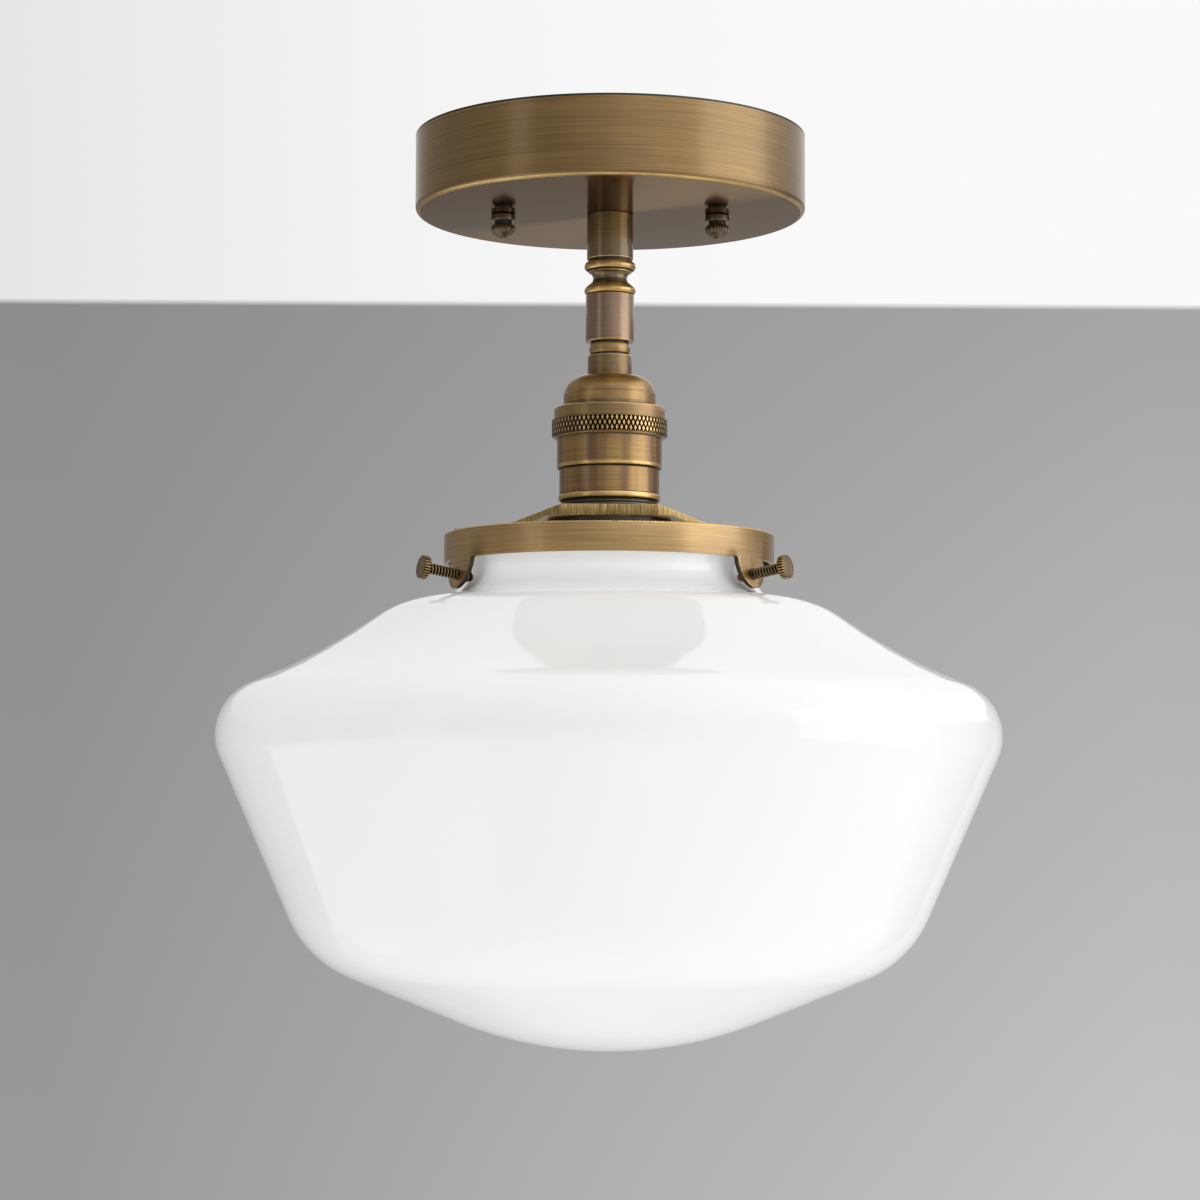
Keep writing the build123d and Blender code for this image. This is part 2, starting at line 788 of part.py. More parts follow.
screw_shell_plate = screw_shell_top - screw_shell_wall
with BuildPart() as shell_rivets:
    for point, seat in zip(rivet_points, (terminal_top, core_top)):
        for height, radius, amount in (
            (seat, rivet_head_diameter / 2, rivet_head_height),
            (seat, rivet_diameter / 2, screw_shell_plate - seat),
            (screw_shell_plate, rivet_head_diameter / 2, -rivet_head_height),
        ):
            with BuildSketch(Plane.XY.offset(height)):
                with Locations(point):
                    Circle(radius)
            extrude(amount=amount)
write(shell_rivets, "shell_rivets")

# ---------------------------------------------------------------- shade bridge
foot_start = bridge_reach - foot_length
foot_top = fitter_top + foot_thickness
hub_bend = tapped_hub + hub_shoulder
hub_edge = tapped_hub + hub_wall
with BuildPart() as shade_bridge:
    with BuildSketch(Plane.XZ) as side_view:
        with BuildLine():
            half = Polyline(
                (0, bridge_top),
                (hub_bend, bridge_top),
                (foot_start, foot_top),
                (bridge_reach, foot_top),
                (bridge_reach, fitter_top),
                (foot_start - foot_thickness, fitter_top),
                (retaining_radius + moving_gap, hub_foot),
                (0, hub_foot),
            )
            mirror(half, about=Plane.YZ)
        make_face()
        bends = side_view.vertices().filter_by(
            lambda corner: abs(abs(corner.X) - hub_bend) < seat_gap
            or abs(abs(corner.X) - foot_start) < seat_gap
        )
        fillet(bends, bridge_bend_radius)
    extrude(amount=hub_edge, both=True)
    with BuildSketch(Plane.XY.offset(fitter_top)) as plan:
        with BuildLine():
            quarter = Polyline(
                (0, hub_edge),
                (hub_bend, hub_edge),
                (foot_start, foot_width / 2),
                (bridge_reach - foot_width / 4, foot_width / 2),
                (bridge_reach, foot_width / 4),
                (bridge_reach, 0),
            )
            mirror(quarter, about=Plane.XZ)
            mirror(about=Plane.YZ)
        make_face()
    extrude(amount=bridge_height, mode=Mode.INTERSECT)
    with BuildSketch(Plane.XY.offset(bridge_top)):
        Circle(tapped_hub)
    extrude(amount=-bridge_height, mode=Mode.SUBTRACT)
    with BuildSketch(Plane.XY.offset(foot_top)):
        with GridLocations(2 * bridge_rivet_place, bridge_rivet_pitch, 2, 2):
            Circle(bridge_rivet_diameter / 2 + thread_clearance)
    extrude(amount=-foot_thickness, mode=Mode.SUBTRACT)
write(shade_bridge, "shade_bridge")

with BuildPart() as retaining_ring:
    with BuildSketch(Plane.XY.offset(hub_foot)):
        Circle(retaining_radius)
        Circle(tapped_hub, mode=Mode.SUBTRACT)
    extrude(amount=-retaining_height)
    lower_edge = retaining_ring.faces().sort_by(Axis.Z)[0].edges().sort_by(SortBy.RADIUS)[-1]
    fillet(lower_edge, retaining_edge_radius)
write(retaining_ring, "retaining_ring")

# ---------------------------------------------------------------- fitter ring
flare = tan(radians(tab_flare_angle))
tab_angles = [first_tab_angle - turn * 360 / tab_count for turn in range(tab_count)]
tab_planes = [
    Plane(
        origin=(0, 0, fitter_foot),
        x_dir=polar_point(1, angle + 90, 0),
        z_dir=polar_point(1, angle, 0),
    )
    for angle in tab_angles
]

with BuildPart() as tabs:
    with BuildSketch(Plane.XZ):
        with BuildLine():
            Polyline(
                (ring_inside, fitter_foot + tab_root_fillet),
                (ring_radius, fitter_foot + tab_root_fillet),
                (ring_radius, fitter_foot),
                (ring_radius + tab_length * flare, tab_foot),
                (ring_inside + tab_length * flare, tab_foot),
                (ring_inside, fitter_foot),
                close=True,
            )
        make_face()
    revolve(axis=Axis.Z)

with BuildSketch() as tab_outline:
    with BuildLine():
        Line((-tab_root_width / 2, 0), (tab_root_width / 2, 0))
        CenterArc((0, tab_tip_radius - tab_length), tab_tip_radius, 0, 360)
    make_hull()
    with Locations((0, tab_root_fillet / 2)):
        Rectangle(tab_root_width + 4 * tab_root_fillet, tab_root_fillet)
    roots = tab_outline.vertices().filter_by(
        lambda corner: abs(corner.Y) < seat_gap and abs(corner.X) < tab_root_width / 2 + seat_gap
    )
    fillet(roots, tab_root_fillet)

with BuildPart() as tab_prisms:
    with BuildSketch(*tab_planes):
        add(tab_outline.sketch)
    extrude(amount=1.2 * ring_radius)


def screw_plane(angle):
    """The plane of one screw: Z runs outwards along its axis from the tab's outer face."""
    tilt = radians(tab_flare_angle)
    reach = ring_radius + screw_drop * flare
    return Plane(
        origin=polar_point(reach, angle, screw_height),
        x_dir=polar_point(1, angle + 90, 0),
        z_dir=polar_point(cos(tilt), angle, sin(tilt)),
    )


screw_planes = [screw_plane(angle) for angle in tab_angles]
with BuildPart() as fitter_ring:
    with BuildSketch(Plane.XZ):
        with BuildLine():
            Line((flange_bore_radius, fitter_top), (ring_radius - ring_edge_radius, fitter_top))
            edge = JernArc(
                (ring_radius - ring_edge_radius, fitter_top), (1, 0), ring_edge_radius, -90
            )
            Polyline(
                edge @ 1,
                (ring_radius, fitter_foot),
                (ring_inside, fitter_foot),
                (ring_inside, fitter_top - ring_wall),
                (flange_bore_radius, fitter_top - ring_wall),
                (flange_bore_radius, fitter_top),
            )
        make_face()
    revolve(axis=Axis.Z)
    add(tabs.part.intersect(tab_prisms.part))
    with BuildSketch(*screw_planes):
        Circle(screw_diameter / 2 + thread_clearance)
    extrude(amount=4 * ring_wall, both=True, mode=Mode.SUBTRACT)
    with BuildSketch(Plane.XY.offset(fitter_top)):
        with GridLocations(2 * bridge_rivet_place, bridge_rivet_pitch, 2, 2):
            Circle(bridge_rivet_diameter / 2 + thread_clearance)
    extrude(amount=-ring_wall, mode=Mode.SUBTRACT)
write(fitter_ring, "fitter_ring")

with BuildPart() as bridge_rivets:
    with BuildSketch(Plane.XY.offset(foot_top)):
        with GridLocations(2 * bridge_rivet_place, bridge_rivet_pitch, 2, 2):
            Circle(bridge_rivet_head / 2)
    extrude(amount=bridge_rivet_head_height)
    with BuildSketch(Plane.XY.offset(foot_top)):
        with GridLocations(2 * bridge_rivet_place, bridge_rivet_pitch, 2, 2):
            Circle(bridge_rivet_diameter / 2)
    extrude(amount=-foot_thickness - ring_wall)
write(bridge_rivets, "bridge_rivets")

# ---------------------------------------------------------------- thumb screws
lip_foot = rim_top - lip_edge_radius - lip_height - lip_under
neck_foot = lip_foot - glass_neck_height
tip_low = screw_height - flare * (ring_radius - neck_radius) - screw_tip_diameter / 2
cove_drop = neck_foot - tip_low
tip_reach = neck_radius + cove_radius - sqrt(cove_radius**2 - cove_drop**2) + moving_gap
tip_offset = (tip_reach - ring_radius - screw_drop * flare) / cos(radians(tab_flare_angle))


def turn_thumb_screw(plane):
    """A thumb screw: tip, thread, neck and a flat round head, laid out along the plane's Z."""
    with BuildPart() as screw:
        with BuildSketch(plane.offset(tip_offset)):
            Circle(screw_tip_diameter / 2)
        with BuildSketch(plane.offset(tip_offset + screw_tip_height)):
            Circle(screw_diameter / 2)
        loft()
        with BuildSketch(plane.offset(tip_offset + screw_tip_height)):
            Circle(screw_diameter / 2)
        extrude(amount=screw_length - screw_tip_height - screw_neck_length)
        with BuildSketch(plane.offset(tip_offset + screw_length - screw_neck_length)):
            Circle(screw_neck_diameter / 2)
        extrude(amount=screw_neck_length)
        with BuildSketch(plane.offset(tip_offset + screw_length)):
            Circle(screw_head_diameter / 2)
        extrude(amount=screw_head_height)
        rims = screw.edges().filter_by(GeomType.CIRCLE).group_by(SortBy.RADIUS)[-1]
        chamfer(rims, screw_head_bevel)
    return screw


for plane, side in zip(screw_planes, ("right", "left", "back")):
    write(turn_thumb_screw(plane), f"thumb_screw_{side}")

# ---------------------------------------------------------------- opal globe


def globe_wall(inset):
    """The globe's line from the foot of its neck to the axis, at a depth inside the wall."""
    neck = Line((neck_radius - inset, lip_foot), (neck_radius - inset, neck_foot))
    cove = JernArc(neck @ 1, neck % 1, cove_radius + inset, 90)
    shoulder = JernArc(cove @ 1, cove % 1, shoulder_radius - inset, -shoulder_angle)
    sweep_turn = shoulder_angle - sweep_angle
    dip = JernArc(shoulder @ 1, shoulder % 1, sweep_radius + inset, sweep_turn)
    belly_turn = 90 + taper_angle - sweep_angle
    belly = JernArc(dip @ 1, dip % 1, belly_radius - inset, -belly_turn)
    taper = Line(belly @ 1, belly @ 1 + taper_length * (belly % 1))
    corner_turn = 90 - taper_angle - bowl_angle
    corner = JernArc(taper @ 1, taper % 1, corner_radius - inset, -corner_turn)
    bowl = Line(corner @ 1, corner @ 1 + bowl_length * (corner % 1))
    foot_radius = (bowl @ 1).X / sin(radians(bowl_angle))
    foot = JernArc(bowl @ 1, bowl % 1, foot_radius, -bowl_angle)
    return neck @ 0, foot @ 1


with BuildPart() as glass_shade:
    with BuildSketch(Plane.XZ):
        with BuildLine():
            outer_neck, outer_foot = globe_wall(0)
            inner_neck, inner_foot = globe_wall(glass_wall)
            Line(outer_foot, inner_foot)
            rim_edge = Vector(lip_radius - lip_edge_radius, rim_top)
            Polyline(inner_neck, (inner_neck.X, rim_top), rim_edge)
            lip = JernArc(rim_edge, (1, 0), lip_edge_radius, -90)
            Polyline(lip @ 1, lip @ 1 - (0, lip_height), outer_neck)
        make_face()
    revolve(axis=Axis.Z)
write(glass_shade, "glass_shade")

# ---------------------------------------------------------------- bulb
contact_top = contact_low - moving_gap
insulator_top = contact_top - bulb_contact_height
base_shoulder = insulator_top - bulb_insulator_height
base_body = base_shoulder - bulb_shoulder_height
base_foot = base_body - bulb_base_height
base_shoulder_radius = base_radius - bulb_base_bevel
insulator_radius = bulb_contact_diameter / 2 + bulb_insulator_rim

with BuildPart() as bulb_contact:
    with BuildSketch(Plane.XZ):
        with BuildLine():
            cap_line = ThreePointArc(
                (-bulb_contact_diameter / 2, insulator_top),
                (0, contact_top),
                (bulb_contact_diameter / 2, insulator_top),
            )
            Line(cap_line @ 0, cap_line @ 1)
        make_face()
        with Locations((-bulb_contact_diameter, contact_top)):
            Rectangle(2 * bulb_contact_diameter, 4 * bulb_contact_height, mode=Mode.SUBTRACT)
    revolve(axis=Axis.Z)
write(bulb_contact, "bulb_contact")

with BuildPart() as bulb_insulator:
    with BuildSketch(Plane.XY.offset(insulator_top)):
        Circle(insulator_radius)
    with BuildSketch(Plane.XY.offset(base_shoulder)):
        Circle(base_shoulder_radius)
    loft()
write(bulb_insulator, "bulb_insulator")

with BuildPart() as bulb_base:
    with BuildSketch(Plane.XZ):
        with BuildLine():
            Polyline(
                (0, base_shoulder),
                (base_shoulder_radius, base_shoulder),
                (base_radius, base_body),
                (base_radius, base_foot),
                (base_radius - bulb_base_wall, base_foot),
                (base_radius - bulb_base_wall, base_body),
                (base_shoulder_radius - bulb_base_wall, base_shoulder - bulb_base_wall),
                (0, base_shoulder - bulb_base_wall),
                (0, base_shoulder),
            )
        make_face()
    revolve(axis=Axis.Z)
write(bulb_base, "bulb_base")

glass_radius = bulb_diameter / 2
bulb_neck_radius = base_radius + bulb_neck_proud
seat_radius = base_radius - bulb_base_wall - seat_gap
shoulder_turn = radians(bulb_shoulder_angle)
flare_run = glass_radius * cos(shoulder_turn) - bulb_neck_radius
flare_radius = flare_run / (1 - cos(shoulder_turn))


def bulb_line(inset):
    """The bulb's line from its seat in the base, down over the shoulder, to the axis."""
    seat = Line((seat_radius - inset, base_foot + bulb_seat_depth), (seat_radius - inset, base_foot))
    neck_start = (bulb_neck_radius - inset, base_foot - seat_gap - inset)
    step = Line(seat @ 1 - (0, seat_gap + inset), neck_start)
    Line(seat @ 1, step @ 0)
    neck = Line(neck_start, (bulb_neck_radius - inset, base_foot - bulb_neck_height))
    bend = JernArc(neck @ 1, neck % 1, flare_radius + inset, bulb_shoulder_angle)
    ball = JernArc(bend @ 1, bend % 1, glass_radius - inset, -90 - bulb_shoulder_angle)
    return seat @ 0, ball @ 1


with BuildPart() as bulb_glass:
    with BuildSketch(Plane.XZ):
        with BuildLine():
            outer_ends = bulb_line(0)
            inner_ends = bulb_line(bulb_wall)
            Line(outer_ends[0], inner_ends[0])
            Line(outer_ends[1], inner_ends[1])
        make_face()
    revolve(axis=Axis.Z)
write(bulb_glass, "bulb_glass")
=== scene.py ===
from math import atan2, cos, degrees, hypot, pi, radians, sin, tan

import bmesh
import bpy
from mathutils import Matrix, Vector


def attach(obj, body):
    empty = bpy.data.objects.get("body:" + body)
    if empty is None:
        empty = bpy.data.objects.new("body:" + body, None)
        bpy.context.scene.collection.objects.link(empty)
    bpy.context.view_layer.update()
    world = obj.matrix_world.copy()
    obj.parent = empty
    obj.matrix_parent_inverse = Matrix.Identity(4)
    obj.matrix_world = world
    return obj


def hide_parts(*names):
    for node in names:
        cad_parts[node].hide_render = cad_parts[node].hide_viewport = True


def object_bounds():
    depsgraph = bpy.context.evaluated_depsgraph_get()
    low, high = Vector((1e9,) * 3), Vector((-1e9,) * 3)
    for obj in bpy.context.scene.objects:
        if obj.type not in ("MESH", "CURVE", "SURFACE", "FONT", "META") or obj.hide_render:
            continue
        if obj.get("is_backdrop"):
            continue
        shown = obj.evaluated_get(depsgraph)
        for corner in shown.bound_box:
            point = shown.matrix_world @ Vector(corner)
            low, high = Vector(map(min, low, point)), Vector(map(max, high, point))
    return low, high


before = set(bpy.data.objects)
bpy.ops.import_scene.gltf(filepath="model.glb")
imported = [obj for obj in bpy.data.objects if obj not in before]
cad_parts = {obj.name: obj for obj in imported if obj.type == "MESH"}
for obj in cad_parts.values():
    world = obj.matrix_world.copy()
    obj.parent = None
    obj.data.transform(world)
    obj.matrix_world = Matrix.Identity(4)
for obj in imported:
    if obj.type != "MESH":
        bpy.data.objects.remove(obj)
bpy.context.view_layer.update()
mm = 0.001
scene = bpy.context.scene
scene.view_settings.view_transform = "Standard"
print("frame loaded:", len(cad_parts), "solids")


class Settings:
    # the entries of a dictionary, read as attributes
    def __init__(self, entries):
        for name, value in entries.items():
            setattr(self, name, value)


# camera

cameraView = {
    "place": (-2.9, -995.2, -223.4),  # mm
    "pitch": 4.137,  # degrees up from level
    "roll": 0.2,  # degrees
    "focal": 3084.2,  # in pixels of a 1200 px wide picture
    "picture": 1200,
}

lens = bpy.data.cameras.new("viewCamera")
lens.sensor_width = 36.0
lens.lens = 36.0 * cameraView["focal"] / cameraView["picture"]
lens.clip_start, lens.clip_end = 0.02, 40
camera = bpy.data.objects.new("viewCamera", lens)
camera.location = [value * mm for value in cameraView["place"]]
tilt, roll = radians(90 + cameraView["pitch"]), radians(cameraView["roll"])
camera.rotation_euler = (Matrix.Rotation(tilt, 4, "X") @ Matrix.Rotation(roll, 4, "Z")).to_euler()
scene.collection.objects.link(camera)
scene.camera = camera
print("camera set")


# nodes and colours

def hexColour(code):
    # sRGB hex to the linear values that the shaders take
    channels = [int(code[i:i + 2], 16) / 255 for i in (1, 3, 5)]
    return [c / 12.92 if c <= 0.04045 else ((c + 0.055) / 1.055) ** 2.4 for c in channels] + [1.0]


def addNode(tree, kind, inputs=None, **settings):
    # an input takes a value, a socket, or a node, whose first live output is then linked
    node = tree.nodes.new("ShaderNode" + kind)
    for name, value in settings.items():
        setattr(node, name, value)
    for name, value in (inputs or {}).items():
        if isinstance(value, bpy.types.Node):
            value = next(output for output in value.outputs if output.enabled)
        if isinstance(value, bpy.types.NodeSocket):
            tree.links.new(value, node.inputs[name])
        else:
            node.inputs[name].default_value = value
    return node


def newMaterial(name):
    material = bpy.data.materials.new(name)
    material.use_nodes = True
    material.node_tree.nodes.clear()
    return material, material.node_tree


# metals

def brushLines(tree, look):
    # lines that a brush leaves on work that turns: they run round the axis, on walls and faces alike. Filed lines
    # stand upright.
    place = addNode(tree, "TexCoord").outputs["Object"]
    fine, long = 1 / (look.pitch * mm), 1 / (look.stroke * mm)
    if look.filed:
        joined = addNode(tree, "VectorMath", {0: place, 1: (fine, fine, long)}, operation="MULTIPLY")
    else:
        parts = addNode(tree, "SeparateXYZ", {0: place})
        flat = addNode(tree, "VectorMath", {0: place, 1: (1, 1, 0)}, operation="MULTIPLY")
        reach = addNode(tree, "VectorMath", {0: flat}, operation="LENGTH")
        across = addNode(tree, "Math", {0: reach, 1: fine}, operation="MULTIPLY")
        upward = addNode(tree, "Math", {0: parts.outputs[2], 1: fine}, operation="MULTIPLY")
        slant = addNode(tree, "Math", {0: parts.outputs[1], 1: 0.6, 2: parts.outputs[0]}, operation="MULTIPLY_ADD")
        along = addNode(tree, "Math", {0: slant, 1: long}, operation="MULTIPLY")
        joined = addNode(tree, "CombineXYZ", {0: across, 1: upward, 2: along})
    return addNode(tree, "TexNoise", {"Vector": joined, "Scale": 1.0, "Detail": 1.5})


def agedBrass(name, look):
    material, tree = newMaterial(name)
    lines = brushLines(tree, look)
    place = addNode(tree, "TexCoord").outputs["Object"]
    drawn = addNode(tree, "VectorMath", {0: place, 1: (1, 1, look.drop)}, operation="MULTIPLY")
    clouds = addNode(tree, "TexNoise", {"Vector": drawn, "Scale": 1 / (look.patina * mm), "Detail": 3.0})
    lineStep = addNode(tree, "MapRange", {"Value": lines, 1: 0.25, 2: 0.75})
    cloudStep = addNode(tree, "MapRange", {"Value": clouds, 1: 0.38, 2: 0.62, 4: look.patinaShare})
    low, high, stain = (hexColour(code) for code in look.tones)
    brushed = addNode(tree, "Mix", {0: lineStep, 6: low, 7: high}, data_type="RGBA")
    colour = addNode(tree, "Mix", {0: cloudStep, 6: brushed, 7: stain}, data_type="RGBA")
    # painted sheen: the colour is mixed towards a lighter one in two wedges, either way along one direction from the
    # axis
    if look.fan:
        way = radians(look.fan)
        flat = addNode(tree, "VectorMath", {0: place, 1: (1, 1, 0)}, operation="MULTIPLY")
        unit = addNode(tree, "VectorMath", {0: flat}, operation="NORMALIZE")
        near = addNode(tree, "VectorMath", {0: unit, 1: (cos(way), sin(way), 0)}, operation="DOT_PRODUCT")
        near = addNode(tree, "Math", {0: near}, operation="ABSOLUTE")
        start, end = look.fanEnds
        share = addNode(tree, "MapRange", {"Value": near, 1: start, 2: end, 4: look.fanShare},
                        interpolation_type="SMOOTHSTEP")
        colour = addNode(tree, "Mix", {0: share, 6: colour, 7: hexColour(look.sheen)}, data_type="RGBA")
    smooth, dull = look.rough
    rough = addNode(tree, "MapRange", {"Value": lines, 1: 0.25, 2: 0.75, 3: smooth, 4: dull})
    relief = addNode(tree, "Bump", {"Height": lines, "Distance": look.relief * mm})
    radial = addNode(tree, "Tangent", direction_type="RADIAL", axis="Z")
    surface = addNode(tree, "BsdfPrincipled", {
        "Base Color": colour, "Roughness": rough, "Normal": relief, "Tangent": radial, "Metallic": 1.0,
        "Specular Tint": hexColour(look.edge), "Anisotropic": look.stretch,
        "Anisotropic Rotation": 0.0 if look.filed else 0.25,  # of a turn
        "Coat Weight": look.lacquer, "Coat Roughness": look.shine, "Coat IOR": 1.6,
    })
    addNode(tree, "OutputMaterial", {"Surface": surface})
    return material


# All of it is brass that was browned and then lacquered. tones are the two colours of its brush lines and the darker
# patina over them, edge its tint at a flat angle, fan the direction along which a painted sheen lightens
# the colour in two wedges from the axis (0 for none). Real brush lines lie about 0.1 mm apart: they are drawn about
# three times as coarse here, so that they show.
brassBasis = {"pitch": 0.28, "stroke": 26.0, "filed": False, "drop": 1.0, "rough": (0.38, 0.46), "relief": 0.004,
              "stretch": 0.6, "lacquer": 0.9, "shine": 0.2, "edge": "#b89d7a", "patina": 16, "patinaShare": 0.35,
              "fan": 0, "fanEnds": (0.8, 1.0), "fanShare": 0.75}
brassLooks = {
    # spun and brushed pan: warm brown satin with a tall soft sheen
    "spunBrownedBrass": {"tones": ("#775a2d", "#a98649", "#765b35"), "patina": 24, "stroke": 40.0, "edge": "#d0c3ae"},
    # the same pan's underside: duller and greyer, with a painted sheen, lighter in two wedges that fan out from the
    # stem
    "spunBrownedBrassFace": {"tones": ("#82715f", "#8b7965", "#75665a"), "patina": 30, "rough": (0.1, 0.13),
                             "relief": 0.0002, "stretch": 0.85, "lacquer": 0.1, "edge": "#d0c6bc", "fan": -58,
                             "sheen": "#d2b48a"},
    # drawn tube: the darkest brown
    "drawnDarkBrass": {"tones": ("#74603a", "#8f7749", "#6e5640"), "patina": 9, "rough": (0.34, 0.4), "stretch": 0.96,
                       "lacquer": 1.0},
    # drawn sleeve: greyer brown, fine lines
    "drawnBrownedBrass": {"tones": ("#896e53", "#b08f70", "#7e6554"), "patina": 9, "rough": (0.34, 0.4),
                          "stretch": 0.75, "lacquer": 1.0},
    # stamped dome and turned band: golden brown with darker clouds
    "stampedGoldenBrass": {"tones": ("#9c7a44", "#be9853", "#7e6138"), "patina": 6, "patinaShare": 0.5,
                           "rough": (0.42, 0.5)},
    # collar and spacer: browner
    "turnedGoldenBrass": {"tones": ("#80633b", "#967643", "#684f30"), "patina": 5, "patinaShare": 0.5,
                          "rough": (0.42, 0.5)},
    # the plain band above the knurl: turned finer, so duller
    "satinTurnedBrass": {"tones": ("#80623a", "#c99f5f", "#7b5e3a"), "patina": 8, "patinaShare": 0.5,
                         "rough": (0.5, 0.58)},
    # drawn shell: upright streaks of gold and purple brown under very fine lines: drawing marks, and also a painted
    # reflection of the streaky light a cylinder shows
    "drawnStreakAndSheenBrass": {"tones": ("#856532", "#bb9450", "#6f4f3b"), "patina": 4, "patinaShare": 0.85,
                           "drop": 0.05},
    # rolled and brushed band: the palest, a cream sheen
    "rolledBrushedBrass": {"tones": ("#a58352", "#cfab6f", "#a08054"), "patina": 18, "stretch": 0.7},
    # filed strap edge: short upright marks, dark in their bottoms
    "filedBrass": {"tones": ("#4e4024", "#dab876", "#816a40"), "patina": 3, "pitch": 0.24, "stroke": 6.0,
                   "filed": True, "relief": 0.01, "stretch": 0.2, "lacquer": 0.3},
    # canopy knobs: the darkest, browned all over
    "darkKnobBrass": {"tones": ("#5b4a32", "#736043", "#4b3d2b"), "patina": 3, "rough": (0.34, 0.4)},
    # milled and turned screws: brown, mottled by handling
    "milledBrownedBrass": {"tones": ("#785f3d", "#8a6e47", "#57432d"), "patina": 3, "patinaShare": 0.5,
                           "stretch": 0.3},
    # edges where the brown was rubbed off again: bright gold. On edges, beads and crests it is also a painted
    # highlight where they would catch the light
    "rubbedAndHighlitBrass": {"tones": ("#d3ae69", "#ebc275", "#a68250"), "patina": 5, "rough": (0.28, 0.36),
                      "relief": 0.002},
    # grooves where the browning stayed: near black. In recesses, under edges and on inward faces it is also painted
    # shade
    "blackenedAndShadedBrass": {"tones": ("#3a352b", "#443e32", "#2e2a22"), "patina": 5, "rough": (0.42, 0.55),
                       "stretch": 0.3, "lacquer": 0.4},
    # rolled thread: dark greenish grey
    "rolledDarkThread": {"tones": ("#6c695b", "#797567", "#56544a"), "patina": 5, "stretch": 0.3, "lacquer": 0.6},
}
brass = {name: agedBrass(name, Settings({**brassBasis, **look})) for name, look in brassLooks.items()}
print("brass finishes made:", len(brass))


def plainMetal(name, look):
    # small stamped, cut or moulded hardware: one tone with a fine grain, and duller where it has been handled
    material, tree = newMaterial(name)
    place = addNode(tree, "TexCoord").outputs["Object"]
    grain = addNode(tree, "TexNoise", {"Vector": place, "Scale": 1 / (look.grain * mm), "Detail": 4.0})
    handled = addNode(tree, "TexNoise", {"Vector": place, "Scale": 1 / (look.patches * mm), "Detail": 2.0})
    patches = addNode(tree, "MapRange", {"Value": handled, 1: 0.35, 2: 0.65})
    light, dark = (hexColour(code) for code in look.tones)
    colour = addNode(tree, "Mix", {0: patches, 6: light, 7: dark}, data_type="RGBA")
    smooth, dull = look.rough
    rough = addNode(tree, "MapRange", {"Value": grain, 1: 0.3, 2: 0.7, 3: smooth, 4: dull})
    relief = addNode(tree, "Bump", {"Height": grain, "Distance": look.relief * mm})
    surface = addNode(tree, "BsdfPrincipled", {
        "Base Color": colour, "Roughness": rough, "Normal": relief, "Metallic": look.metallic})
    addNode(tree, "OutputMaterial", {"Surface": surface})
    return material


plainBasis = {"grain": 0.5, "patches": 5, "rough": (0.3, 0.42), "relief": 0.004, "metallic": 1.0}
plainLooks = {
    "zincPlatedSteel": {"tones": ("#b4b6ba", "#9a9ca0"), "grain": 0.4, "rough": (0.28, 0.42)},
    "nickelPlatedBrass": {"tones": ("#c2beb4", "#aaa69b"), "grain": 0.4, "rough": (0.2, 0.32), "relief": 0.003},
    "stampedBrass": {"tones": ("#c6a35c", "#a98848"), "grain": 0.4, "patches": 4, "rough": (0.25, 0.4)},
    "rolledAluminium": {"tones": ("#c4c5c8", "#adaeb2"), "patches": 6, "rough": (0.25, 0.38)},
    "tinnedContact": {"tones": ("#b0afac", "#8f8e8a"), "patches": 2, "rough": (0.3, 0.5), "relief": 0.02},
    "greenEnamel": {"tones": ("#1f6a34", "#195a2b"), "patches": 4, "metallic": 0.0},
    "pressedFibre": {"tones": ("#6f5d45", "#5b4b37"), "grain": 0.6, "rough": (0.75, 0.9), "relief": 0.02,
                     "metallic": 0.0},
    "mouldedPhenolic": {"tones": ("#2a2420", "#1f1a17"), "patches": 6, "metallic": 0.0},
    "pressedBlackGlass": {"tones": ("#1c1c1f", "#141416"), "grain": 0.8, "patches": 6, "rough": (0.12, 0.2),
                          "relief": 0.003, "metallic": 0.0},
}
plain = {name: plainMetal(name, Settings({**plainBasis, **look})) for name, look in plainLooks.items()}


def glossGlass(name, look):
    # white glass through and through: light spreads inside it, and the fire-polished skin is glossy, slightly wavy
    material, tree = newMaterial(name)
    place = addNode(tree, "TexCoord").outputs["Object"]
    waves = addNode(tree, "TexNoise", {"Vector": place, "Scale": 1 / (look.wave * mm), "Detail": 1.0})
    milk = addNode(tree, "MapRange", {"Value": waves, 1: 0.3, 2: 0.7})
    light, dark = (hexColour(code) for code in look.tones)
    colour = addNode(tree, "Mix", {0: milk, 6: light, 7: dark}, data_type="RGBA")
    relief = addNode(tree, "Bump", {"Height": waves, "Distance": look.relief * mm})
    inputs = {
        "Base Color": colour, "Normal": relief, "Roughness": look.rough, "IOR": 1.5,
        "Subsurface Weight": look.milk, "Subsurface Radius": (1.0, 1.0, 0.95),
        "Subsurface Scale": look.depth * mm,
    }
    if look.glow:
        # painted glow: emission in the glass's colour lifts the neck that the ring keeps in shade, and fills the
        # inside;
        # it stands in for light that wanders in the glass
        low, high, under, over = look.glow
        parts = addNode(tree, "SeparateXYZ", {0: place})
        glow = addNode(tree, "MapRange", {"Value": parts.outputs[2], 1: low * mm, 2: high * mm, 3: under, 4: over},
                       interpolation_type="SMOOTHSTEP")
        inputs.update({"Emission Color": colour, "Emission Strength": glow})
    surface = addNode(tree, "BsdfPrincipled", inputs)
    addNode(tree, "OutputMaterial", {"Surface": surface})
    return material


